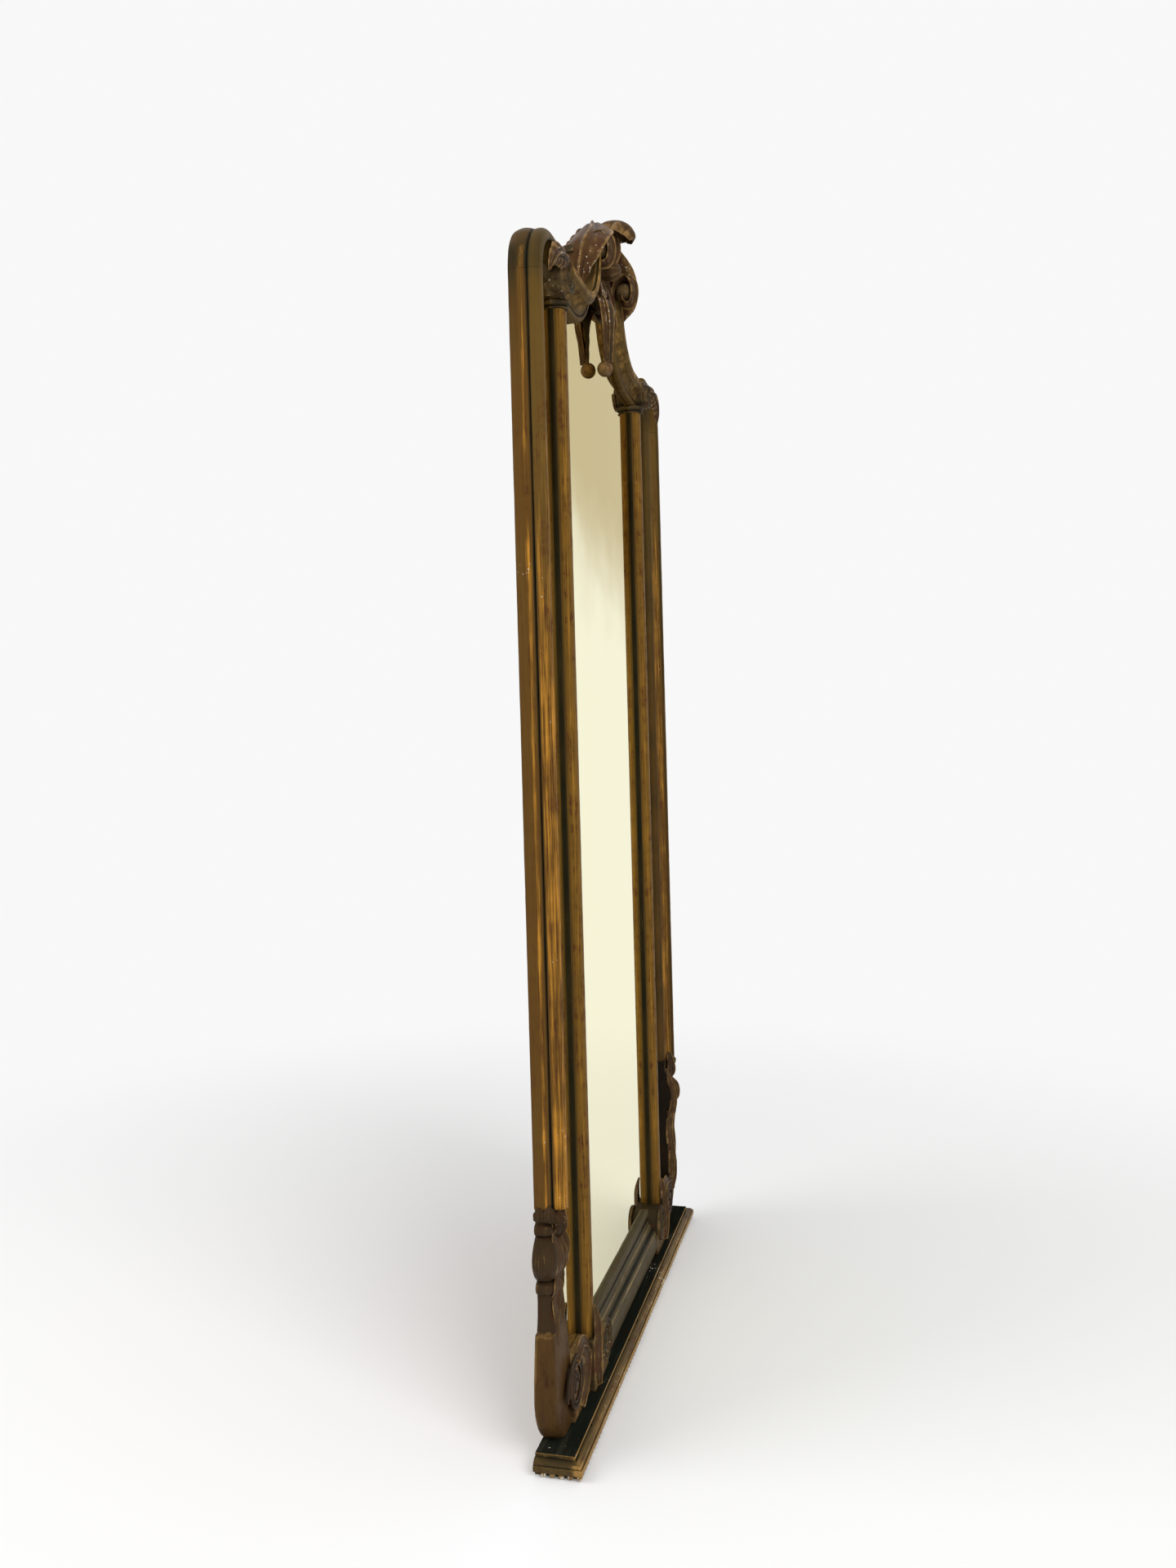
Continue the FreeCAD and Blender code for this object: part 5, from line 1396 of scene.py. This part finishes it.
# Shares of the side leaf's reach, height, width and thickness
SIDE_LEAF_ROWS = [
    (0.2, 0.04, 0.6, 0.9),
    (0.3, 0.56, 0.85, 0.95),
    (0.5, 0.92, 1, 0.9),
    (0.76, 1, 1, 0.9),
    (0.95, 0.67, 1, 0.88),
    (1, 0.2, 0.97, 0.84),
    (0.94, -0.2, 0.95, 0.78),
    (0.79, -0.32, 0.92, 0.7),
    (0.66, -0.12, 0.9, 0.6),
    (0.68, 0.16, 0.88, 0.5),
    (0.78, 0.24, 0.86, 0.4),
]
for name, side in SIDES:
    leaf_rows = []
    for out, up, width, thick in SIDE_LEAF_ROWS:
        place = (side * ARCH_END, GROUND - SIDE_LEAF_REACH * out, ARCH_TIP + SIDE_LEAF_HEIGHT * up)
        leaf_rows.append((*place, SIDE_LEAF_WIDTH * width, SIDE_LEAF_THICKNESS * thick, SIDE_LEAF_CUP))
    leaf = make_piece(f"side_leaf_piece_{name}", carve_leaf(leaf_rows, (-1, 0, 0), 9, 0.1, 0.25, 0.3, 9))
    dress(leaf, crest_finish, "carved_wood", f"crest_side_leaf_{name}")
    eye_level = ARCH_TIP + SIDE_LEAF_HEIGHT * EYE_UP_SHARE
    eye_place = (side * ARCH_END, GROUND - SIDE_LEAF_REACH * EYE_OUT_SHARE, eye_level)
    # The eye takes the dark finish as painted shade inside the leaf's curl.
    eye = make_piece(f"side_leaf_eye_painted_shade_{name}", ball(eye_place, EYE_RADIUS, 1.0, 14, 24), 0, 0.0004)
    dress(eye, dark_finish, "carved_wood")

PENDANT_LOW, PENDANT_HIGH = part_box("crest_pendant")
BALL_LOW, BALL_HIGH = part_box("pendant_ball")
PENDANT_STAND = 0.014
PENDANT_WIDTH = 0.07
PENDANT_THICKNESS = 0.0135
PENDANT_CUP = 0.0085
BALL_GAIN = 1.3
# Shares of the pendant's length, stand, width and thickness, and of its cup
PENDANT_ROWS = [
    (0, 0.9, 1, 0.8, 0.6),
    (0.15, 1.1, 0.96, 1, 0.75),
    (0.35, 1.15, 0.8, 1, 0.8),
    (0.55, 1.05, 0.58, 1, 0.8),
    (0.78, 1, 0.36, 0.95, 0.75),
    (1, 1, 0.18, 0.85, 0.75),
]
pendant_length = PENDANT_HIGH.z - PENDANT_LOW.z
leaf_rows = []
for down, out, width, thick, cup in PENDANT_ROWS:
    place = (0, GLASS_FRONT - PENDANT_STAND * out, PENDANT_HIGH.z - pendant_length * down)
    body = (PENDANT_THICKNESS * thick, PENDANT_CUP * thick * cup)
    leaf_rows.append((*place, PENDANT_WIDTH * width, *body))
pendant_values = {
    **crest_values,
    "Toned": (0.026, 0.019, 0.01, 1),
    "Leaf": (0.06, 0.036, 0.016, 1),
    "Loss": 0.0,
}
pendant_finish = new_finish("pendant_gilding", GILDING_GROUP, pendant_values, sheen=0.06)
pendant = make_piece("crest_pendant_piece", carve_leaf(leaf_rows, (-1, 0, 0), 4, 0.26, 0.3, 0.2, 14))
dress(pendant, pendant_finish, "carved_wood", "crest_pendant")
# Strands that run down beside the pendant: place, then width and thickness
STRAND_ROWS = [
    (0.036, 0.004, 1.668, 0.006, 0.004),
    (0.032, -0.002, 1.648, 0.016, 0.009),
    (0.022, -0.003, 1.622, 0.015, 0.009),
    (0.012, -0.002, 1.594, 0.011, 0.007),
    (0.006, -0.001, 1.572, 0.004, 0.003),
]
strands = []
for side in (-1, 1):
    strands.append(carve_leaf(leaf_path(STRAND_ROWS, side), (-1, 0, 0), 3, 0.2, 0.4, 0.3, 10))
dress(make_piece("pendant_strands", join(*strands)), crest_finish, "carved_wood")
ball_centre = (BALL_LOW + BALL_HIGH) / 2
ball_radius = (BALL_HIGH.z - BALL_LOW.z) / 2 * BALL_GAIN
bead = make_piece("pendant_bead", ball(ball_centre, ball_radius, 1.0, 20, 32), 0, 0.0003)
dress(bead, pendant_finish, "carved_wood", "pendant_ball")

# Cap leaves: broad leaves that ride the crest's edge from its peak down into the scooped rails.
# They make the brown outline of the crest, and most of the chips down to the gesso are on them.
# A cap leaf from peak to rail: place, width and thickness
CAP_LEAF = [
    (-0.006, 0.012, 1.782, 0.014, 0.008),
    (0.022, 0.009, 1.776, 0.032, 0.011),
    (0.052, 0.003, 1.756, 0.052, 0.013),
    (0.082, -0.003, 1.736, 0.068, 0.014),
    (0.108, -0.003, 1.717, 0.07, 0.014),
    (0.121, 0.002, 1.698, 0.06, 0.013),
    (0.118, 0.008, 1.679, 0.044, 0.012),
    (0.114, 0.01, 1.662, 0.028, 0.01),
    (0.115, 0.01, 1.647, 0.005, 0.004),
]
CAP_CUP_SHARE = 0.3
cap_values = {
    **crest_values,
    "Toned": (0.058, 0.028, 0.012, 1),
    "Leaf": (0.095, 0.047, 0.017, 1),
    "Loss": 0.34,
}
cap_finish = new_finish("cap_leaf_gilding", GILDING_GROUP, cap_values, sheen=0.05)
for name, side in SIDES:
    leaf_rows = leaf_path(CAP_LEAF, side, CAP_CUP_SHARE)
    leaf = carve_leaf(leaf_rows, (0, -side, 0), 2, 0.08, 0.2, 0.22, 12)
    dress(make_piece(f"cap_leaf_{name}", leaf), cap_finish, "carved_wood")
FIELD_LEAF_BODY = (0.009, 0.005)
# Leaves carved on the field of the crest, between the bud, the C-scrolls and the arch rails:
# places across and up, and the leaf's width
FIELD_LEAVES = [
    [
        (0.01, 1.676, 0.01),
        (0.032, 1.663, 0.024),
        (0.056, 1.662, 0.03),
        (0.078, 1.674, 0.024),
        (0.09, 1.694, 0.006),
    ],
    [
        (0.014, 1.712, 0.01),
        (0.034, 1.72, 0.024),
        (0.056, 1.722, 0.028),
        (0.07, 1.71, 0.02),
        (0.074, 1.694, 0.005),
    ],
    [(0.012, 1.735, 0.01), (0.03, 1.748, 0.02), (0.05, 1.747, 0.02), (0.066, 1.736, 0.004)],
]
for name, side in SIDES:
    leaves = []
    for path in FIELD_LEAVES:
        leaf_rows = [(side * x, GROUND, z, width, *FIELD_LEAF_BODY) for x, z, width in path]
        leaves.append(carve_leaf(leaf_rows, (0, 0, -side), 4, 0.32, 0.5, 0.3, 9, flat_rear=True))
    dress(make_piece(f"crest_field_leaves_{name}", join(*leaves)), scroll_finish, "carved_wood")
# A leaf on the crest's middle, up to its peak: place, width and thickness
NECK_LEAF = [
    (0, -0.004, 1.724, 0.03, 0.012),
    (0, -0.0135, 1.735, 0.05, 0.015),
    (0, -0.0155, 1.752, 0.05, 0.015),
    (0, -0.01, 1.77, 0.034, 0.012),
    (0, 0, 1.784, 0.01, 0.006),
]
leaf_rows = leaf_path(NECK_LEAF, 1, CAP_CUP_SHARE)
neck = make_piece("crest_neck_leaf", carve_leaf(leaf_rows, (1, 0, 0), 4, 0.2, 0.3, 0.2, 12))
dress(neck, crest_finish, "carved_wood")

# Bare softwood: the back boards and their battens, and the head board behind arch rails and crest.
# All are sawn and planed; only the head board's front and edge are toned dark like the crest.


def make_wood_group():
    """Old softwood: growth rings stretched along the board, darker knots, dirt and saw marks."""
    settings = {"Pale": (0.3, 0.19, 0.1, 1), "Dark": (0.16, 0.09, 0.042, 1), "Lengthways": 0.0}
    group, given, out = new_group("old_softwood", settings, ("Color", "Roughness", "Height"))
    coords = add(group, "TexCoord").outputs["Object"]
    along_z = add(group, "Mapping", None, Vector=coords, Scale=(26, 60, 1.6)).outputs[0]
    along_x = add(group, "Mapping", None, Vector=coords, Scale=(1.6, 60, 26)).outputs[0]
    turn = add(group, "Mix", {"data_type": "VECTOR"}, n0=given["Lengthways"], n4=along_z, n5=along_x)
    turned = turn.outputs[1]
    waver = grain(group, turned, 1.2, 3)
    setup = {"bands_direction": "DIAGONAL"}
    rings = add(group, "TexWave", setup, Vector=turned, Scale=1.6, Distortion=7.0, Detail=3.0)
    fibre = grain(group, turned, 9, 6, 0.7)
    dust = grain(group, coords, 13, 5, 0.6)
    shade = calc(group, "ADD", scaled(group, rings.outputs["Fac"], 0.34), scaled(group, fibre, 0.5))
    colour = mix(group, step_up(group, shade, 0.2, 0.95), given["Pale"], given["Dark"])
    dusty = scaled(group, step_up(group, dust, 0.42, 0.75), 0.5)
    colour = mix(group, dusty, colour, (0.07, 0.05, 0.035, 1))
    colour = mix(group, scaled(group, waver, 0.25), colour, given["Dark"])
    group.links.new(colour, out["Color"])
    group.links.new(calc(group, "ADD", scaled(group, fibre, 0.25), 0.6), out["Roughness"])
    relief = calc(group, "ADD", fibre, scaled(group, rings.outputs["Fac"], 0.3))
    group.links.new(relief, out["Height"])
    return group


WOOD_GROUP = make_wood_group()
board_finish = new_finish("back_boards", WOOD_GROUP, {"Lengthways": 0.0}, 0.0005, 0.4)
batten_values = {"Lengthways": 1.0, "Pale": (0.36, 0.24, 0.13, 1), "Dark": (0.2, 0.12, 0.06, 1)}
batten_finish = new_finish("battens", WOOD_GROUP, batten_values, 0.0005, 0.4)


def finish_node(node, finish):
    """A construction piece whose shape is already right takes a new finish."""
    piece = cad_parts[node]
    piece.data.materials.clear()
    piece.data.materials.append(finish)


for name in ("left", "right", "centre"):
    finish_node(f"back_board_{name}", board_finish)
for name in ("lower", "upper"):
    finish_node(f"batten_{name}", batten_finish)
head_finish, head_tree, head_shader = new_material("head_board_two_sides")
bare = add(head_tree, "Group", {"node_tree": WOOD_GROUP})
toned = add(head_tree, "Group", {"node_tree": GILDING_GROUP})
for label, value in dark_values.items():
    toned.inputs[label].default_value = value
head_shader.inputs["Specular IOR Level"].default_value = 0.05
coords = add(head_tree, "TexCoord").outputs["Object"]
head_depth = add(head_tree, "SeparateXYZ", None, Vector=coords).outputs[1]
behind = step_up(head_tree, head_depth, BACK - 0.003, BACK - 0.0005)
head_colour = mix(head_tree, behind, toned.outputs["Color"], bare.outputs["Color"])
head_tree.links.new(head_colour, head_shader.inputs["Base Color"])
head_tree.links.new(bare.outputs["Roughness"], head_shader.inputs["Roughness"])
head_bump = add(head_tree, "Bump", None, Strength=0.4, Distance=0.0005, Height=bare.outputs["Height"])
head_tree.links.new(head_bump.outputs[0], head_shader.inputs["Normal"])
HEAD_LOW, HEAD_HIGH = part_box("head_board")
SEAT_SHARE = 0.25
FREE_EDGE_DROP = 0.002
CREST_STEPS = 5
# The crest's edge: place across, rise over the arch rail's tip, and the bow to the next corner
CREST_EDGE = [
    (0.135, -0.006, -0.005),
    (0.112, 0.012, -0.003),
    (0.089, 0.03, -0.003),
    (0.049, 0.057, -0.003),
    (0.017, 0.08, -0.004),
]
# The edge over the centre plate, from the crest's foot down to the rail
HEAD_SIGHT_EDGE = [(0.092, 1.658, -0.0108), (0.186, HEAD_LOW.z)]
seat = ARCH_RADIUS - ARCH_WIDTH * SEAT_SHARE
free_edge = ARCH_RADIUS - ARCH_WIDTH / 2 + FREE_EDGE_DROP
head_outline = outline(HEAD_SIGHT_EDGE, 10)
head_outline += [
    (HEAD_HIGH.x, HEAD_LOW.z),
    (HEAD_HIGH.x, ARCH_TIP - free_edge),
    (ARCH_START, ARCH_TIP - free_edge),
    (ARCH_START, ARCH_TIP - seat),
]
head_outline += arc_points((ARCH_TURN, ARCH_TIP), seat, -math.pi / 2, -math.pi, 16)
crest_line = outline([(x, ARCH_TIP + rise, bow) for x, rise, bow in CREST_EDGE], CREST_STEPS)
# The way from the last corner back to the first is no part of the edge
head_outline += crest_line[:CREST_STEPS * (len(CREST_EDGE) - 1) + 1]
head_ring = head_outline + [(-x, z) for x, z in reversed(head_outline)]
rows = [[(x, y, z) for x, z in head_ring] for y in np.linspace(BACK, GLASS_FRONT, 5)]
head_board = make_piece("head_board_piece", skin(rows), 0.001, 0.0002)
dress(head_board, head_finish, "carved_wood", "head_board")


def bare_back(piece):
    """Leaves the faces that lie against the wall in bare wood."""
    piece.data.materials.append(board_finish)
    bare_slot = len(piece.data.materials) - 1
    for face in piece.data.polygons:
        if face.normal.y > 0.9 and face.center.y > BACK - 0.001:
            face.material_index = bare_slot


for piece in carved_pieces:
    if piece.name != "head_board_piece" and max(spot.co.y for spot in piece.data.vertices) > BACK - 0.001:
        bare_back(piece)

# Mirror plates: old silvered glass, a centre plate with a cut crown and two narrow border plates.
# The plates are tinted cream and warmer in the upper part, partly old silvering and partly a painted
# reflection of a cream wall; they are clouded a little and foxed in spots.
# The cream tints are partly old silver and partly a painted reflection of a cream wall.
SILVER_CLEAR = (0.99, 0.965, 0.73, 1)
SILVER_WARM = (0.66, 0.57, 0.34, 1)
GLANCE_CLEAR = (0.99, 0.98, 0.9, 1)
GLANCE_WARM = (0.82, 0.76, 0.6, 1)
FOXING = (0.16, 0.12, 0.07, 1)
silver, silver_tree, silver_shader = new_material("silvering_and_painted_reflection")
silver_shader.inputs["Metallic"].default_value = 1.0
coords = add(silver_tree, "TexCoord").outputs["Object"]
cloud = grain(silver_tree, coords, 2.2, 4)
spots = grain(silver_tree, coords, 120, 5, 0.65)
haze = grain(silver_tree, coords, 30, 5)
height_up = add(silver_tree, "SeparateXYZ", None, Vector=coords).outputs[2]
drift = scaled(silver_tree, calc(silver_tree, "SUBTRACT", cloud, 0.5), 0.5)
warmth = step_up(silver_tree, calc(silver_tree, "ADD", height_up, drift), 1.1, 1.36)
plate = mix(silver_tree, warmth, SILVER_CLEAR, SILVER_WARM)
fox_spots = calc(silver_tree, "ADD", spots, drift)
foxed = mix(silver_tree, step_up(silver_tree, fox_spots, 0.74, 0.8), plate, FOXING)
silver_tree.links.new(foxed, silver_shader.inputs["Base Color"])
glance = mix(silver_tree, warmth, GLANCE_CLEAR, GLANCE_WARM)
silver_tree.links.new(glance, silver_shader.inputs["Specular Tint"])
hazed = scaled(silver_tree, step_up(silver_tree, haze, 0.4, 0.9), 0.09)
silver_tree.links.new(hazed, silver_shader.inputs["Roughness"])
for node in ("main_glass", "side_glass_left", "side_glass_right"):
    finish_node(node, silver)

# Fittings: folded steel straps with D rings, let into the stiles' backs, and the screws of the back.
# The steel has gone dull and brown in places.


def make_steel_group():
    """Dull steel with brown specks and fine draw marks."""
    settings = {"Bright": (0.42, 0.41, 0.38, 1), "Rust": (0.13, 0.06, 0.028, 1)}
    group, given, out = new_group("dull_steel", settings, ("Color", "Roughness", "Metallic", "Height"))
    coords = add(group, "TexCoord").outputs["Object"]
    patches = grain(group, coords, 210, 6, 0.65)
    marks = grain(group, coords, 1500, 3)
    rust = step_up(group, patches, 0.5, 0.68)
    group.links.new(mix(group, rust, given["Bright"], given["Rust"]), out["Color"])
    roughness = calc(group, "ADD", scaled(group, rust, 0.4), scaled(group, marks, 0.3))
    group.links.new(calc(group, "ADD", roughness, 0.2), out["Roughness"])
    group.links.new(calc(group, "SUBTRACT", 1.0, scaled(group, rust, 0.8)), out["Metallic"])
    group.links.new(calc(group, "ADD", marks, patches), out["Height"])
    return group


steel = new_finish("dull_steel_fittings", make_steel_group(), {}, 0.0002, 0.4)
for name in ("left", "right"):
    finish_node(f"hanger_strap_{name}", steel)
    finish_node(f"hanger_ring_{name}", steel)


SCREW_RADIUS = 0.004
# Shares of a screw head's radius and of its rise
SCREW_EDGE = ((1, 0), (1, 0.25), (0.93, 0.6), (0.8, 0.85), (0.6, 0.96), (0.4, 1), (0.2, 1), (0.02, 1))


def screw_head(centre, rise, tilt):
    """A low round head with a slot cut across it, standing out along +Y."""
    slot_half = SCREW_RADIUS * 0.13
    slot_depth = rise * 0.6
    rows = []
    for out, up in SCREW_EDGE:
        row = []
        for angle in full_turn(48):
            x = SCREW_RADIUS * out * math.cos(angle)
            z = SCREW_RADIUS * out * math.sin(angle)
            across = x * math.sin(tilt) + z * math.cos(tilt)
            sink = slot_depth if abs(across) < slot_half else 0.0
            row.append((centre[0] + x, centre[1] + max(rise * up - sink, 0.0), centre[2] + z))
        rows.append(row)
    return skin(rows)


BATTEN_SCREW_PLACES = (0.046, 0.16175, 0.30125)
BATTEN_SCREW_SINK = 0.0016
BATTEN_SCREW_RISE = 0.0014
screws = []
for name in ("lower", "upper"):
    low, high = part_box(f"batten_{name}")
    for x in BATTEN_SCREW_PLACES:
        for side in (-1, 1):
            centre = (side * x, BACK - BATTEN_SCREW_SINK, (low.z + high.z) / 2)
            screws.append(screw_head(centre, BATTEN_SCREW_RISE, 7 * x + side))
screw_piece = make_piece("batten_screw_heads", join(*screws), 0, 0)
dress(screw_piece, steel, "steel", "batten_screws")
STRAP_LOW, STRAP_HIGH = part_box("hanger_strap_right")
HANGER_AXIS = (STRAP_LOW.x + STRAP_HIGH.x) / 2
STRAP_THICKNESS = 0.0016
HANGER_SCREW_RISE = 0.0016
HANGER_SCREW_START = STRAP_LOW.z + 0.006
HANGER_SCREW_PITCH = 0.016
screws = []
for place in range(2):
    for side in (-1, 1):
        level = HANGER_SCREW_START + HANGER_SCREW_PITCH * place
        centre = (side * HANGER_AXIS, STRAP_LOW.y + STRAP_THICKNESS, level)
        screws.append(screw_head(centre, HANGER_SCREW_RISE, 0.7 + place + side))
screw_piece = make_piece("hanger_screw_heads", join(*screws), 0, 0)
dress(screw_piece, steel, "steel", "hanger_screws")

# Floor: a wide pale sheet that fades into the white all round, so that no horizon shows.
# It is only the studio, not part of the mirror.
FLOOR_RADIUS = 12.0
SHADE_CENTRE = (0, 0.2, 0)
WHITE = 0.94


def seen_rays(tree):
    """1 on rays that the camera sees, straight, mirrored or through glass, and 0 on all others."""
    ray = add(tree, "LightPath").outputs
    seen = calc(tree, "MAXIMUM", ray["Is Camera Ray"], ray["Is Glossy Ray"])
    return calc(tree, "MAXIMUM", seen, ray["Is Transmission Ray"])


rows = []
for reach in (0.02, 0.5, 1, 2, 4, 7, FLOOR_RADIUS):
    rows.append([(reach * math.cos(a), reach * math.sin(a), 0.0) for a in full_turn(64)])
floor_points, floor_faces = skin(rows, caps=False)
floor_mesh = bpy.data.meshes.new("studio_floor")
floor_mesh.from_pydata(floor_points, [], floor_faces)
floor = bpy.data.objects.new("studio_floor", floor_mesh)
bpy.context.scene.collection.objects.link(floor)
paper, paper_tree, paper_shader = new_material("studio_paper")
paper_shader.inputs["Base Color"].default_value = (0.9, 0.9, 0.9, 1)
paper_shader.inputs["Roughness"].default_value = 0.9
paper_shader.inputs["Specular IOR Level"].default_value = 0.0
floor_place = add(paper_tree, "TexCoord").outputs["Object"]
shade_place = add(paper_tree, "VectorMath", {"operation": "SUBTRACT"}, n0=floor_place, n1=SHADE_CENTRE)
reach = add(paper_tree, "VectorMath", {"operation": "LENGTH"}, n0=shade_place.outputs[0]).outputs["Value"]
away = calc(paper_tree, "MULTIPLY", step_up(paper_tree, reach, 0.25, 2.4), seen_rays(paper_tree))
glow = add(paper_tree, "Emission", None, Color=(WHITE, WHITE, WHITE, 1), Strength=1.0)
fade = add(paper_tree, "MixShader", None, n0=away, n1=paper_shader.outputs[0], n2=glow.outputs[0])
paper_tree.links.new(fade.outputs[0], paper_tree.nodes["Material Output"].inputs["Surface"])
floor_mesh.materials.append(paper)

# Camera at the photographer's place, level with the middle of the mirror and well off its left end.
# Soft light from high in front of the mirror, a weaker one from behind it, and a pale sky all round.
CAMERA_PLACE = Vector((-1.8883, -0.4268, 0.915))
YAW = math.radians(14.12)
PITCH = math.radians(-0.95)
ROLL = math.radians(-1.56)
FOCAL_PIXELS = 1450
IMAGE_HEIGHT = 1920
SENSOR = 36
ahead = Vector((math.cos(YAW) * math.cos(PITCH), math.sin(YAW) * math.cos(PITCH), math.sin(PITCH)))
right = ahead.cross(Vector((0, 0, 1))).normalized()
up = right.cross(ahead)
turned_right = right * math.cos(ROLL) + up * math.sin(ROLL)
turned_up = up * math.cos(ROLL) - right * math.sin(ROLL)
camera_data = bpy.data.cameras.new("photo_camera")
camera_data.sensor_width = SENSOR
camera_data.lens = FOCAL_PIXELS / IMAGE_HEIGHT * SENSOR
camera_data.clip_end = 50
camera = bpy.data.objects.new("photo_camera", camera_data)
camera_turn = Matrix((turned_right, turned_up, -ahead)).transposed().to_4x4()
camera.matrix_world = Matrix.Translation(CAMERA_PLACE) @ camera_turn
bpy.context.scene.collection.objects.link(camera)
bpy.context.scene.camera = camera

LIGHT_AIM = Vector((0, 0, 0.9))
SKY_LEVEL = 0.62
# Name, place, size and power of each lamp
LIGHTS = (
    ("key_light", (-2.6, -2.4, 2.9), 2.4, 96),
    ("rear_light", (-1.6, 2.8, 2.4), 2.4, 54),
)
for name, place, side, power in LIGHTS:
    lamp = bpy.data.lights.new(name, "AREA")
    lamp.size = side
    lamp.energy = power
    light = bpy.data.objects.new(name, lamp)
    light.location = place
    light.visible_glossy = False
    light.rotation_euler = (LIGHT_AIM - Vector(place)).to_track_quat("-Z", "Y").to_euler()
    bpy.context.scene.collection.objects.link(light)

world = bpy.data.worlds.new("studio_sky")
bpy.context.scene.world = world
world.use_nodes = True
sky_tree = world.node_tree
sky = sky_tree.nodes["Background"]
sky.inputs["Color"].default_value = (1, 1, 1, 1)
level = add(sky_tree, "MapRange", None, Value=seen_rays(sky_tree), To_Min=SKY_LEVEL, To_Max=WHITE)
sky_tree.links.new(level.outputs[0], sky.inputs["Strength"])
bpy.context.scene.view_settings.view_transform = "Standard"
